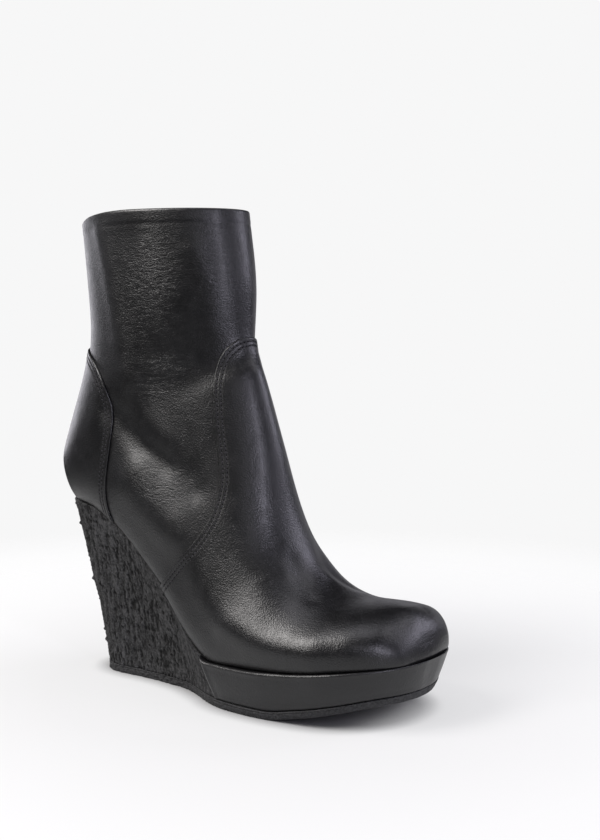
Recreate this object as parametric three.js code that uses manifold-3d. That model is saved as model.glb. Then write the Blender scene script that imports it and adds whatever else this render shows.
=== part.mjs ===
// Wedge ankle boot for the right foot: a lasted leather upper with a vamp and a
// counter laid over it, on a rough wedge, a covered platform and a thin outsole.
// Millimetres. X runs from heel to toe, Y to the inner side of the foot, Z up.

import * as THREE from "three";
import { mergeVertices } from "three/addons/utils/BufferGeometryUtils.js";
import Module from "manifold-3d";

const wasm = await Module();
wasm.setup();

// Driving sizes of the last and the boot
const length = 240; // upper, from the back of the heel to the tip of the toe
const lastTip = 237.5; // front of the last, forward of the heel's back
const soleTip = 238; // platform's front edge, forward of the heel's back
const ballWidth = 86; // across the widest part of the forefoot
const bootHeight = 250; // floor to collar
const heelHeight = 93.5; // floor to the top of the wedge under the heel
const platformHeight = 22.3; // floor to the top of the platform under the ball
const toeLift = 9; // how far the platform's top rises again to the toe
const instepRise = 144.7; // platform's top to the bend where the foot becomes the shaft
const shaftDepth = 105; // collar, front to back
const shaftWidth = 66; // collar, side to side
const shaftCentre = 73.2; // middle of the collar, forward of the heel's back
const heelTuck = 5; // how far the last curves in under its own edge

// Leather, gaps and sole
const wall = 2; // leather and lining together
const overlayThickness = 1.2; // vamp and counter, where they lie over the shaft
const gap = 0.3; // between pieces that are stitched or glued together
const insoleThickness = 2.5;
const outsoleThickness = 4;
const outsoleProud = 0.5; // how far the outsole stands out past the platform's cover
const welt = 1.2; // how far the platform's top edge stands out past the upper
const outsoleBevel = 1.5; // how far the outsole's underside is cut back at the toe
const coverRoll = 2; // height of the rounded edge along the platform's top
const soleBack = 11; // wedge's rear edge under the heel, forward of the heel's back
const footprintBack = 35.5; // wedge's rear edge on the floor, forward of the heel's back
const footprintTip = 233.5; // outsole's front edge, forward of the heel's back
const wedgeShare = 0.506; // share of the sole's length that the wedge takes
const weltShare = 0.4; // share of the sole's length where the welt begins to stand out

// How finely curves are cut into facets
const lastRings = 33;
const pointsAround = 40;
const soleStations = 26;
const collarStations = 10;

// Plan of the last at the edge where upper and sole meet: x in lengths,
// half and centre in ball widths. A positive centre leans to the inner side. edge
// is the share of that half width left where the upper stands on the sole.
const planRows = [
  { x: 0.0, half: 0.352, centre: 0.0, edge: 0.87 },
  { x: 0.15, half: 0.357, centre: 0.0, edge: 0.87 },
  { x: 0.3, half: 0.352, centre: -0.01, edge: 0.93 },
  { x: 0.42, half: 0.37, centre: -0.03, edge: 0.985 },
  { x: 0.52, half: 0.415, centre: -0.03, edge: 0.985 },
  { x: 0.6, half: 0.46, centre: -0.015, edge: 0.985 },
  { x: 0.7, half: 0.495, centre: 0.0, edge: 0.99 },
  { x: 0.8, half: 0.5, centre: 0.02, edge: 0.99 },
  { x: 1.0, half: 0.5, centre: 0.055, edge: 0.99 },
];
const heelRound = 31; // length over which the plan rounds off behind
const toeRound = 46; // length over which the plan rounds off in front
const toeRoundPower = 2.2; // 2 is an ellipse, more is blunter

// Plan of the outsole on the floor, in the same columns.
const footprintRows = [
  { x: 0.15, half: 0.25, centre: 0.0 },
  { x: 0.3, half: 0.235, centre: -0.005 },
  { x: 0.42, half: 0.25, centre: -0.018 },
  { x: 0.45, half: 0.27, centre: -0.021 },
  { x: 0.49, half: 0.32, centre: -0.023 },
  { x: 0.55, half: 0.405, centre: -0.025 },
  { x: 0.61, half: 0.46, centre: -0.017 },
  { x: 0.7, half: 0.485, centre: 0.0 },
  { x: 0.8, half: 0.485, centre: 0.02 },
  { x: 1.0, half: 0.485, centre: 0.05 },
];
const footprintHeelRound = 22;

// Side view of the surface on which the upper stands: x in lengths, heel in
// shares of the climb from platform to heel, toe in shares of the toe lift.
const seatRows = [
  { x: 0.0, heel: 1.0, toe: 0.0 },
  { x: 0.083, heel: 0.995, toe: 0.0 },
  { x: 0.163, heel: 0.974, toe: 0.0 },
  { x: 0.2, heel: 0.93, toe: 0.0 },
  { x: 0.244, heel: 0.865, toe: 0.0 },
  { x: 0.308, heel: 0.718, toe: 0.0 },
  { x: 0.402, heel: 0.467, toe: 0.0 },
  { x: 0.458, heel: 0.256, toe: 0.0 },
  { x: 0.51, heel: 0.065, toe: 0.0 },
  { x: 0.55, heel: 0.0, toe: 0.0 },
  { x: 0.6, heel: 0.0, toe: 0.01 },
  { x: 0.66, heel: 0.0, toe: 0.06 },
  { x: 0.714, heel: 0.0, toe: 0.17 },
  { x: 0.771, heel: 0.0, toe: 0.32 },
  { x: 0.86, heel: 0.0, toe: 0.64 },
  { x: 0.93, heel: 0.0, toe: 0.86 },
  { x: 1.0, heel: 0.0, toe: 1.0 },
];

// Underside of the outsole: flat to the ball, then the toe spring.
const toeSpring = 12;
const springRows = [
  { x: 0.7, rise: 0.0 },
  { x: 0.785, rise: 0.27 },
  { x: 0.86, rise: 0.6 },
  { x: 0.94, rise: 0.93 },
  { x: 1.0, rise: 1.0 },
];

// Sections of the foot, from the toe to the bend of the instep. Each lies in a
// plane through a top point on the ridge and a base point under or behind it.
// topX and baseX are in lengths, topZ in instep rises above the platform, baseZ
// in heel tucks above the seat. swell widens the plan, belly is where along the
// section it is widest, box and crown say how square its lower and upper ends are.
const footSections = [
  { topX: 0.975, topZ: 0.106, baseX: 0.98, baseZ: -0.1, swell: 0.5, belly: 0.5, box: 2.2, crown: 2.0 },
  { topX: 0.969, topZ: 0.132, baseX: 0.973, baseZ: -0.7, swell: 0.95, belly: 0.48, box: 3.0, crown: 2.0 },
  { topX: 0.952, topZ: 0.168, baseX: 0.955, baseZ: -0.9, swell: 0.97, belly: 0.46, box: 3.8, crown: 2.0 },
  { topX: 0.92, topZ: 0.203, baseX: 0.92, baseZ: -1.0, swell: 0.97, belly: 0.43, box: 4.0, crown: 2.1 },
  { topX: 0.873, topZ: 0.213, baseX: 0.871, baseZ: -1.0, swell: 0.97, belly: 0.41, box: 4.0, crown: 2.1 },
  { topX: 0.819, topZ: 0.212, baseX: 0.812, baseZ: -1.0, swell: 0.97, belly: 0.39, box: 4.0, crown: 2.1 },
  { topX: 0.764, topZ: 0.236, baseX: 0.75, baseZ: -1.0, swell: 0.97, belly: 0.36, box: 4.0, crown: 2.0 },
  { topX: 0.718, topZ: 0.292, baseX: 0.683, baseZ: -1.0, swell: 0.97, belly: 0.33, box: 4.0, crown: 1.9 },
  { topX: 0.69, topZ: 0.363, baseX: 0.617, baseZ: -1.0, swell: 0.97, belly: 0.31, box: 4.0, crown: 1.9 },
  { topX: 0.667, topZ: 0.434, baseX: 0.546, baseZ: -1.3, swell: 0.98, belly: 0.3, box: 4.0, crown: 1.9 },
  { topX: 0.65, topZ: 0.515, baseX: 0.471, baseZ: -1.8, swell: 0.99, belly: 0.3, box: 4.0, crown: 1.9 },
  { topX: 0.635, topZ: 0.609, baseX: 0.396, baseZ: -2.2, swell: 1.0, belly: 0.3, box: 4.0, crown: 1.9 },
  { topX: 0.621, topZ: 0.708, baseX: 0.312, baseZ: -2.2, swell: 1.01, belly: 0.3, box: 3.8, crown: 1.9 },
  { topX: 0.601, topZ: 0.825, baseX: 0.225, baseZ: -2.0, swell: 1.02, belly: 0.3, box: 3.2, crown: 1.9 },
  { topX: 0.584, topZ: 0.922, baseX: 0.148, baseZ: -1.4, swell: 1.03, belly: 0.3, box: 2.5, crown: 1.9 },
  { topX: 0.567, topZ: 1.007, baseX: 0.063, baseZ: -0.7, swell: 1.03, belly: 0.3, box: 2.1, crown: 1.9 },
];

// Sections of the shaft, from the bend to the collar: front and back in half
// depths from the shaft's centre, their heights in shares of the rise to the
// collar, wide in half widths.
const shaftSections = [
  { front: 1.133, frontZ: 0.076, back: -1.329, backZ: 0.045, wide: 0.98, belly: 0.33, box: 1.9, crown: 1.9 },
  { front: 1.078, frontZ: 0.189, back: -1.273, backZ: 0.12, wide: 0.98, belly: 0.37, box: 1.9, crown: 1.9 },
  { front: 1.071, frontZ: 0.331, back: -1.152, backZ: 0.25, wide: 0.97, belly: 0.42, box: 1.9, crown: 2.0 },
  { front: 1.071, frontZ: 0.48, back: -0.998, backZ: 0.39, wide: 0.97, belly: 0.46, box: 1.95, crown: 2.0 },
  { front: 1.052, frontZ: 0.63, back: -0.908, backZ: 0.54, wide: 0.98, belly: 0.49, box: 2.0, crown: 2.0 },
  { front: 1.015, frontZ: 0.79, back: -0.946, backZ: 0.72, wide: 1.0, belly: 0.5, box: 2.0, crown: 2.0 },
  { front: 0.968, frontZ: 1.0, back: -1.02, backZ: 1.0, wide: 1.0, belly: 0.5, box: 2.0, crown: 2.0 },
];
const heelBulge = 9.5; // seat to the height where the shaft's back begins

// The collar's edge dips behind: x in lengths, dip in boot heights.
const collarRows = [
  { x: 0.08, dip: 0.023 },
  { x: 0.125, dip: 0.016 },
  { x: 0.18, dip: 0.007 },
  { x: 0.25, dip: 0.0015 },
  { x: 0.32, dip: 0.0 },
];

// Seams in side view, x in lengths, z in boot heights: everything in front of the
// first is vamp, everything behind the second is counter.
const vampSeam = [
  { x: 0.62, z: 0.741 },
  { x: 0.54, z: 0.74 },
  { x: 0.533, z: 0.735 },
  { x: 0.517, z: 0.717 },
  { x: 0.504, z: 0.694 },
  { x: 0.499, z: 0.659 },
  { x: 0.505, z: 0.608 },
  { x: 0.516, z: 0.547 },
  { x: 0.529, z: 0.493 },
  { x: 0.538, z: 0.439 },
  { x: 0.533, z: 0.387 },
  { x: 0.507, z: 0.331 },
  { x: 0.464, z: 0.283 },
  { x: 0.4, z: 0.22 },
  { x: 0.34, z: 0.16 },
];
const counterSeam = [
  { x: 0.0, z: 0.722 },
  { x: 0.12, z: 0.71 },
  { x: 0.18, z: 0.689 },
  { x: 0.209, z: 0.67 },
  { x: 0.24, z: 0.633 },
  { x: 0.255, z: 0.59 },
  { x: 0.258, z: 0.548 },
  { x: 0.252, z: 0.494 },
  { x: 0.239, z: 0.439 },
  { x: 0.224, z: 0.39 },
  { x: 0.213, z: 0.355 },
  { x: 0.21, z: 0.3 },
];

const mix = THREE.MathUtils.lerp;

// Slope of a column at row k, limited so that the curve never overshoots its rows.
function slopeAt(rows, k, key, column) {
  if (k === 0 || k === rows.length - 1) return 0;
  const before = (rows[k][column] - rows[k - 1][column]) / (rows[k][key] - rows[k - 1][key]);
  const after = (rows[k + 1][column] - rows[k][column]) / (rows[k + 1][key] - rows[k][key]);
  return before * after > 0 ? (2 * before * after) / (before + after) : 0;
}

// Reads every column of a table at a value of its rising key column.
function along(rows, key, at) {
  const held = THREE.MathUtils.clamp(at, rows[0][key], rows[rows.length - 1][key]);
  const k = Math.min(rows.findLastIndex((row) => row[key] <= held), rows.length - 2);
  const step = rows[k + 1][key] - rows[k][key];
  const t = (held - rows[k][key]) / step;
  const read = {};
  for (const column of Object.keys(rows[k])) {
    const leaving = slopeAt(rows, k, key, column) * step;
    const arriving = slopeAt(rows, k + 1, key, column) * step;
    read[column] =
      rows[k][column] * (1 + 2 * t) * (1 - t) ** 2 +
      rows[k + 1][column] * t * t * (3 - 2 * t) +
      leaving * t * (1 - t) ** 2 -
      arriving * t * t * (1 - t);
  }
  return read;
}

// Height of the surface under the upper at x.
function seat(x) {
  const { heel, toe } = along(seatRows, "x", x / length);
  return platformHeight + (heelHeight - platformHeight) * heel + toeLift * toe;
}

// Height of the outsole's underside at x.
function ground(x) {
  return toeSpring * along(springRows, "x", x / length).rise;
}

// How much of the full width is left at a distance from a rounded end.
function rounding(distance, reach, power) {
  const t = THREE.MathUtils.clamp(1 - distance / reach, 0, 1);
  return (1 - t ** power) ** (1 / power);
}

// Half width and centre line of a plan between its rounded ends.
function planAt(rows, x, back, heelReach, tip) {
  const { half, centre, edge = 1 } = along(rows, "x", x / length);
  const ends = rounding(x - back, heelReach, 2) * rounding(tip - x, toeRound, toeRoundPower);
  const full = half * ballWidth * ends;
  return { half: full, centre: centre * ballWidth, edge: full * edge };
}

const lastPlan = (x) => planAt(planRows, x, 0, heelRound, lastTip);
const soleTopPlan = (x) => planAt(planRows, x, soleBack, heelRound, soleTip);
const footprint = (x) =>
  planAt(footprintRows, x, footprintBack, footprintHeelRound, footprintTip);

// Foot and shaft sections as real sizes, in one list from toe to collar.
function resolvedSections() {
  const bend = platformHeight + instepRise;
  const foot = footSections.map((row) => {
    const topX = row.topX * length;
    const baseX = row.baseX * length;
    return {
      topX,
      topZ: platformHeight + row.topZ * instepRise,
      baseX,
      baseZ: seat(baseX) + row.baseZ * heelTuck,
      topY: lastPlan(topX).centre,
      baseY: lastPlan(baseX).centre,
      half: lastPlan(mix(baseX, topX, row.belly)).half * row.swell,
      belly: row.belly,
      box: row.box,
      crown: row.crown,
    };
  });
  const bulge = heelHeight + heelBulge;
  const shaft = shaftSections.map((row) => ({
    topX: shaftCentre + (row.front * shaftDepth) / 2,
    topZ: mix(bend, bootHeight, row.frontZ),
    baseX: shaftCentre + (row.back * shaftDepth) / 2,
    baseZ: mix(bulge, bootHeight, row.backZ),
    topY: 0,
    baseY: 0,
    half: (row.wide * shaftWidth) / 2,
    belly: row.belly,
    box: row.box,
    crown: row.crown,
  }));
  return [...foot, ...shaft].map((row, order) => ({ order, ...row }));
}

const sections = resolvedSections();

// Points around one section, starting under it and passing the outer side first.
function sectionRing(order) {
  const s = along(sections, "order", order);
  return Array.from({ length: pointsAround }, (_, j) => {
    const angle = (2 * Math.PI * j) / pointsAround;
    const down = Math.cos(angle);
    const out = -Math.sin(angle);
    const power = 2 / (down > 0 ? s.box : s.crown);
    const arc = Math.abs(down) ** power;
    const rise = down > 0 ? s.belly * (1 - arc) : mix(s.belly, 1, arc);
    return new THREE.Vector3(
      mix(s.baseX, s.topX, rise),
      mix(s.baseY, s.topY, rise) + Math.sign(out) * Math.abs(out) ** power * s.half,
      mix(s.baseZ, s.topZ, rise),
    );
  });
}

// Outward direction at every point of a grid of rings.
function ringNormals(rings) {
  return rings.map((ring, i) =>
    ring.map((point, j) => {
      const ahead = rings[Math.min(i + 1, rings.length - 1)][j];
      const behind = rings[Math.max(i - 1, 0)][j];
      const left = ring[(j + 1) % ring.length];
      const right = ring[(j + ring.length - 1) % ring.length];
      const lengthwise = ahead.clone().sub(behind);
      return left.clone().sub(right).cross(lengthwise).normalize();
    }),
  );
}

// Closed mesh over a list of rings with equal counts, with a flat cap on each end.
function skin(rings) {
  const count = rings[0].length;
  const flat = rings.flat();
  const index = [];
  for (let i = 0; i < rings.length - 1; i++) {
    for (let j = 0; j < count; j++) {
      const a = i * count + j;
      const b = i * count + ((j + 1) % count);
      index.push(a, b, a + count, b, b + count, a + count);
    }
  }
  const capped = [
    [0, 1, 0],
    [(rings.length - 1) * count, 0, 1],
  ];
  for (const [start, first, second] of capped) {
    const middle = flat.length;
    const ring = flat.slice(start, start + count);
    flat.push(ring.reduce((sum, p) => sum.add(p), new THREE.Vector3()).divideScalar(count));
    for (let j = 0; j < count; j++) {
      const pair = [start + j, start + ((j + 1) % count)];
      index.push(middle, pair[first], pair[second]);
    }
  }
  const geometry = new THREE.BufferGeometry().setFromPoints(flat);
  geometry.setIndex(index);
  return geometry;
}

// Geometry to solid and back.
function solid(geometry) {
  const bare = geometry.clone();
  bare.deleteAttribute("normal");
  bare.deleteAttribute("uv");
  const merged = mergeVertices(bare, 1e-4);
  return new wasm.Manifold(
    new wasm.Mesh({
      numProp: 3,
      vertProperties: new Float32Array(merged.attributes.position.array),
      triVerts: new Uint32Array(merged.index.array),
    }),
  );
}

function geometryOf(body) {
  const mesh = body.getMesh();
  const geometry = new THREE.BufferGeometry();
  geometry.setAttribute("position", new THREE.BufferAttribute(mesh.vertProperties, mesh.numProp));
  geometry.setIndex(new THREE.BufferAttribute(mesh.triVerts, 1));
  geometry.computeVertexNormals();
  return geometry;
}

// The last, grown outwards by an offset, and lengthened past the collar if asked.
function lastForm(offset, pastCollar = 0) {
  const orders = Array.from(
    { length: lastRings },
    (_, i) => (i * (sections.length - 1)) / (lastRings - 1),
  );
  const rings = orders.map(sectionRing);
  const normals = ringNormals(rings);
  const grown = rings.map((ring, i) =>
    ring.map((point, j) => point.clone().addScaledVector(normals[i][j], offset)),
  );
  grown[grown.length - 1].forEach((point) => point.setZ(bootHeight));
  if (pastCollar > 0) {
    grown.push(grown[grown.length - 1].map((p) => p.clone().setZ(bootHeight + pastCollar)));
  }
  return solid(skin(grown));
}

// A prism across the whole boot, drawn in side view as [x, z] corners.
function sidePrism(corners) {
  const shape = new THREE.Shape(corners.map(([x, z]) => new THREE.Vector2(x, z)));
  const geometry = new THREE.ExtrudeGeometry(shape, { depth: 2 * ballWidth, bevelEnabled: false });
  geometry.rotateX(Math.PI / 2);
  geometry.translate(0, ballWidth, 0);
  return solid(geometry);
}

const margin = 20; // how far cutting shapes run past the boot
const stations = Array.from({ length: 49 }, (_, i) =>
  mix(-margin, length + margin, i / 48),
);

// Everything below the seat, raised by a height.
function belowSeat(height) {
  return sidePrism([
    [-margin, -margin],
    [length + margin, -margin],
    ...stations.toReversed().map((x) => [x, seat(x) + height]),
  ]);
}

// Everything above the collar's edge.
function aboveCollar() {
  const fromX = collarRows[0].x * length;
  const toX = collarRows[collarRows.length - 1].x * length;
  const edge = Array.from({ length: collarStations }, (_, i) => {
    const x = mix(fromX, toX, i / (collarStations - 1));
    return [x, bootHeight * (1 - along(collarRows, "x", x / length).dip)];
  });
  return sidePrism([
    [-margin, edge[0][1]],
    ...edge,
    [length + margin, bootHeight],
    [length + margin, bootHeight + 2 * margin],
    [-margin, bootHeight + 2 * margin],
  ]);
}

// A seam table as [x, z] points.
const seamPoints = (rows) => rows.map((row) => [row.x * length, row.z * bootHeight]);

// Upper: the last's skin, open at the collar and where the sole closes it below.
function makeUpper() {
  return lastForm(0, margin)
    .subtract(lastForm(-wall, 2 * margin))
    .subtract(aboveCollar())
    .subtract(belowSeat(0));
}

// A leather piece laid over the upper, cut from two larger forms by a side outline.
function makeOverlay(outline) {
  return lastForm(gap + overlayThickness)
    .subtract(lastForm(gap, margin))
    .subtract(belowSeat(0))
    .intersect(sidePrism(outline));
}

function makeVamp() {
  const seam = seamPoints(vampSeam);
  const [lowX] = seam[seam.length - 1];
  const [, highZ] = seam[0];
  return makeOverlay([
    [length + margin, 0],
    [length + margin, highZ],
    ...seam,
    [lowX, 0],
  ]);
}

function makeCounter() {
  const seam = seamPoints(counterSeam);
  const [lowX] = seam[seam.length - 1];
  const [, highZ] = seam[0];
  return makeOverlay([
    [-margin, highZ],
    ...seam,
    [lowX, 0],
    [-margin, 0],
  ]);
}

function makeInsole() {
  return lastForm(-wall - gap).intersect(belowSeat(insoleThickness)).subtract(belowSeat(0));
}

// The sole's side runs from a point on its top edge to one on the floor plan, both
// at the same share of the way from heel to toe.
const soleTopX = (share) => mix(soleBack, soleTip, share);
const soleFootX = (share) => mix(footprintBack, footprintTip, share);

// The welt and the outsole's rim grow from nothing at the waist to full at the ball.
const weltGrowth = (share) => THREE.MathUtils.smoothstep(share, weltShare, wedgeShare);

// Sides of the sole between two shares of its length, with levels from bottom to
// top: each level says how far up the side it lies and how far out it stands.
function soleBlock(fromShare, toShare, levels, heights) {
  const rings = Array.from({ length: soleStations }, (_, i) => {
    const eased = (1 - Math.cos((Math.PI * i) / (soleStations - 1))) / 2;
    const share = mix(fromShare, toShare, eased);
    const side = (sign) =>
      levels.map(({ up, out }) => {
        const x = mix(soleFootX(share), soleTopX(share), up);
        const low = footprint(soleFootX(share));
        const high = soleTopPlan(soleTopX(share));
        const rim = welt * weltGrowth(share);
        const half = mix(low.half, high.edge + rim, up) + out;
        const { bottom, top } = heights(share);
        return new THREE.Vector3(
          x,
          mix(low.centre, high.centre, up) + sign * half,
          mix(bottom, top, up),
        );
      });
    return [...side(-1), ...side(1).reverse()];
  });
  return solid(skin(rings.map((ring) => ring.reverse())));
}

const endShare = 0.001; // leaves a narrow flat instead of a point at a rounded end

const coreHeights = (share) => ({
  bottom: ground(soleFootX(share)) + outsoleThickness + gap,
  top: seat(soleTopX(share)) - gap,
});

const wedgeLevels = [
  { up: 0, out: 0 },
  { up: 0.12, out: -1.1 },
  { up: 0.4, out: -1.8 },
  { up: 0.7, out: -1.4 },
  { up: 1, out: 0 },
];

function makeWedge() {
  return soleBlock(endShare, wedgeShare, wedgeLevels, coreHeights);
}

const rollShare = coverRoll / (platformHeight - outsoleThickness);
const platformLevels = [
  { up: 0, out: 0 },
  { up: 0.5, out: 0.5 },
  { up: 1 - rollShare, out: 0.4 },
  { up: 1, out: -0.7 },
];

function makePlatform() {
  const split = gap / (soleTip - soleBack);
  return soleBlock(wedgeShare + split, 1 - endShare, platformLevels, coreHeights);
}

function makeOutsole() {
  const rings = Array.from({ length: 2 * soleStations }, (_, i) => {
    const eased = (1 - Math.cos((Math.PI * i) / (2 * soleStations - 1))) / 2;
    const share = mix(endShare, 1 - endShare, eased);
    const x = soleFootX(share);
    const { half, centre } = footprint(x);
    const bevel = outsoleBevel * along(springRows, "x", x / length).rise;
    const proud = outsoleProud * weltGrowth(share);
    const low = half > bevel ? half - bevel : half / 2;
    const rise = ground(x);
    return [
      new THREE.Vector3(x - bevel, centre - low, rise),
      new THREE.Vector3(x - bevel, centre + low, rise),
      new THREE.Vector3(x, centre + half + proud, rise + outsoleThickness),
      new THREE.Vector3(x, centre - half - proud, rise + outsoleThickness),
    ];
  });
  return solid(skin(rings));
}

function leather(color, roughness) {
  return new THREE.MeshStandardMaterial({ color, roughness, metalness: 0 });
}

const pieces = [
  { name: "upper", make: makeUpper, material: leather(0x1c1c1e, 0.42) },
  { name: "vamp", make: makeVamp, material: leather(0x1e1e21, 0.4) },
  { name: "counter", make: makeCounter, material: leather(0x1d1d1f, 0.42) },
  { name: "insole", make: makeInsole, material: leather(0x26231f, 0.7) },
  { name: "wedge", make: makeWedge, material: leather(0x1a1a1b, 0.95) },
  { name: "platform", make: makePlatform, material: leather(0x1d1d1f, 0.5) },
  { name: "outsole", make: makeOutsole, material: leather(0x171718, 0.9) },
];

const boot = new THREE.Group();
for (const { name, make, material } of pieces) {
  const mesh = new THREE.Mesh(geometryOf(make()), material);
  mesh.name = name;
  boot.add(mesh);
}

// The origin is on the floor under the middle of the whole boot.
const box = new THREE.Box3().setFromObject(boot);
const middle = box.getCenter(new THREE.Vector3());
boot.position.set(-middle.x, -middle.y, -box.min.z);

export default boot;
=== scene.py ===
# %% [markdown]
# # A wedge ankle boot, dressed around its solids
# The boot was built first as plain solids: an upper drawn over a last, two leather panels laid
# on it, and a wedge, a platform and an outsole under it. This lesson keeps every size of those
# solids and gives each piece its real surface. The first step loads the solids as a fixed frame
# and remembers their box, because the finished boot has to stay inside it.

# %% The frame
import math
import bmesh
import bpy
import numpy as np
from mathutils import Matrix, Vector
from mathutils.geometry import delaunay_2d_cdt


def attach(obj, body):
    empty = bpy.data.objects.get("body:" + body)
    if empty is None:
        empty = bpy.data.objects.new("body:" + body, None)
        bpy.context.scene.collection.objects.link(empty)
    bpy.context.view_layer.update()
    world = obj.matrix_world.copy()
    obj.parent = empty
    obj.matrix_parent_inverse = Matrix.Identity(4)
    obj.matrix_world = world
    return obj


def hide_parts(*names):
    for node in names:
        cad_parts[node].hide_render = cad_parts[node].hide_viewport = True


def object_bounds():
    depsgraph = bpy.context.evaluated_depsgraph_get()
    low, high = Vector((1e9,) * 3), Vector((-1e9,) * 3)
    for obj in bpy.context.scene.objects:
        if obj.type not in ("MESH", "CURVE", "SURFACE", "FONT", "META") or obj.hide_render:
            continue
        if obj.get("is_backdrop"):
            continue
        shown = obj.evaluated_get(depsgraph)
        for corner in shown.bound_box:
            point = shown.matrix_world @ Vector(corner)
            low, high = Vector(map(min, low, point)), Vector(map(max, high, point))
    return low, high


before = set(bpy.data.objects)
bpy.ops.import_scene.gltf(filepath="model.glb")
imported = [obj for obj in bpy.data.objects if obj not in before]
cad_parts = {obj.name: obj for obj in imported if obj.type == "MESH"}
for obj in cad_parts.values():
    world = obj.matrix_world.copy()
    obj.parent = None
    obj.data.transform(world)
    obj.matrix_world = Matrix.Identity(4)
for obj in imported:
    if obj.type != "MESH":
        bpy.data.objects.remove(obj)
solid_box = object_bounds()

print("solids:", ", ".join(sorted(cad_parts)))
print("box of the solids, mm:", [[round(1000 * v, 1) for v in corner] for corner in solid_box])

# %% [markdown]
# ## Sizes
# A shoemaker measures from the back of the heel to the toe, from the floor up, and across the
# foot from its middle. The tables below are written that way, in millimetres and in shares of
# the length, so they can be compared with the solids. One fixed shift brings a point from the
# shoemaker's axes to the frame. X runs to the toe, Y to the inside of the foot, Z up.

# %% Sizes and the reader for tables
LENGTH, LAST_TIP, SOLE_TIP = 240.0, 237.5, 238.0
BALL_WIDTH, BOOT_HEIGHT, HEEL_HEIGHT = 86.0, 250.0, 93.5
PLATFORM_HEIGHT, TOE_LIFT, TOE_SPRING = 22.3, 9.0, 12.0
INSTEP_RISE, HEEL_BULGE, HEEL_TUCK = 144.7, 9.5, 5.0
SHAFT_DEPTH, SHAFT_WIDTH, SHAFT_CENTRE = 105.0, 66.0, 73.2
OUTSOLE_THICKNESS, SOLE_GAP = 4.0, 0.3
SOLE_BACK, FOOT_BACK, FOOT_TIP = 11.0, 35.5, 233.5
HEEL_ROUND, FOOT_HEEL_ROUND, TOE_ROUND, TOE_POWER = 31.0, 22.0, 46.0, 2.2
SHIFT = np.array([-120.223, -1.111, 0.0])


def curve(table, key, at):
    """Reads the columns of a table at a key by a cubic that never overshoots its rows."""
    at = np.clip(np.asarray(at, float), key[0], key[-1])
    k = np.minimum(np.searchsorted(key, at, side="right") - 1, len(key) - 2)
    rise = np.diff(table, axis=0) / np.diff(key)[:, None]
    slope = np.zeros_like(table)
    product, total = rise[:-1] * rise[1:], rise[:-1] + rise[1:]
    slope[1:-1] = np.where(product > 0, 2 * product / np.where(total == 0, 1, total), 0)
    step = (key[k + 1] - key[k])[..., None]
    t = (at - key[k])[..., None] / step
    return (table[k] * (1 + 2 * t) * (1 - t) ** 2 + table[k + 1] * t * t * (3 - 2 * t)
            + slope[k] * step * t * (1 - t) ** 2 - slope[k + 1] * step * t * t * (1 - t))


def along_boot(table, x):
    """Columns of a table whose first column is the share of the boot's length."""
    return curve(table[:, 1:], table[:, 0], np.asarray(x) / LENGTH)


def smooth(low, high, at):
    """A soft step from 0 at low to 1 at high."""
    t = np.clip((np.asarray(at, float) - low) / (high - low), 0, 1)
    return t * t * (3 - 2 * t)


# %% The plan of the last, the sole and the floor line
# Share of the length, then half width and centre line as shares of the ball's width.
# The last column of PLAN is the edge of the sole as a share of the half width.
PLAN = np.array([
    (0, 0.352, 0, 0.87), (0.15, 0.357, 0, 0.87), (0.3, 0.352, -0.01, 0.93),
    (0.42, 0.37, -0.03, 0.985), (0.52, 0.415, -0.03, 0.985), (0.6, 0.46, -0.015, 0.985),
    (0.7, 0.495, 0, 0.99), (0.8, 0.5, 0.02, 0.99), (1, 0.5, 0.055, 0.99)])
FOOTPRINT = np.array([
    (0.15, 0.25, 0), (0.3, 0.235, -0.005), (0.42, 0.25, -0.018), (0.45, 0.27, -0.021),
    (0.49, 0.32, -0.023), (0.55, 0.405, -0.025), (0.61, 0.46, -0.017), (0.7, 0.485, 0),
    (0.8, 0.485, 0.02), (1, 0.485, 0.05)])
# share of the length, share of the wedge's height, share of the toe's lift
SEAT = np.array([
    (0, 1, 0), (0.083, 0.995, 0), (0.163, 0.974, 0), (0.2, 0.93, 0), (0.244, 0.865, 0),
    (0.308, 0.718, 0), (0.402, 0.467, 0), (0.458, 0.256, 0), (0.51, 0.065, 0), (0.55, 0, 0),
    (0.6, 0, 0.01), (0.66, 0, 0.06), (0.714, 0, 0.17), (0.771, 0, 0.32), (0.86, 0, 0.64),
    (0.93, 0, 0.86), (1, 0, 1)])
SPRING = np.array([(0.7, 0), (0.785, 0.27), (0.86, 0.6), (0.94, 0.93), (1, 1)])


def rounded(distance, reach, power):
    """How a width grows from a round end: 0 at the end, 1 from reach on."""
    t = np.clip(1 - distance / reach, 0, 1)
    return (1 - t ** power) ** (1 / power)


def plan_at(table, x, back, heel_reach, tip):
    """Half width, centre line and outer edge of an outline between its two rounded ends."""
    row = along_boot(table, x)
    ends = rounded(x - back, heel_reach, 2) * rounded(tip - x, TOE_ROUND, TOE_POWER)
    half = row[..., 0] * BALL_WIDTH * ends
    return half, row[..., 1] * BALL_WIDTH, half * row[..., -1]


def last_plan(x):
    return plan_at(PLAN, x, 0, HEEL_ROUND, LAST_TIP)


def sole_top_plan(x):
    return plan_at(PLAN, x, SOLE_BACK, HEEL_ROUND, SOLE_TIP)


def footprint(x):
    return plan_at(FOOTPRINT, x, FOOT_BACK, FOOT_HEEL_ROUND, FOOT_TIP)


def seat(x):
    """Height of the sole's upper face, which carries the foot."""
    row, wedge_rise = along_boot(SEAT, x), HEEL_HEIGHT - PLATFORM_HEIGHT
    return PLATFORM_HEIGHT + wedge_rise * row[..., 0] + TOE_LIFT * row[..., 1]


def floor_line(x):
    """Height of the outsole's underside over the floor."""
    return TOE_SPRING * along_boot(SPRING, x)[..., 0]

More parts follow.
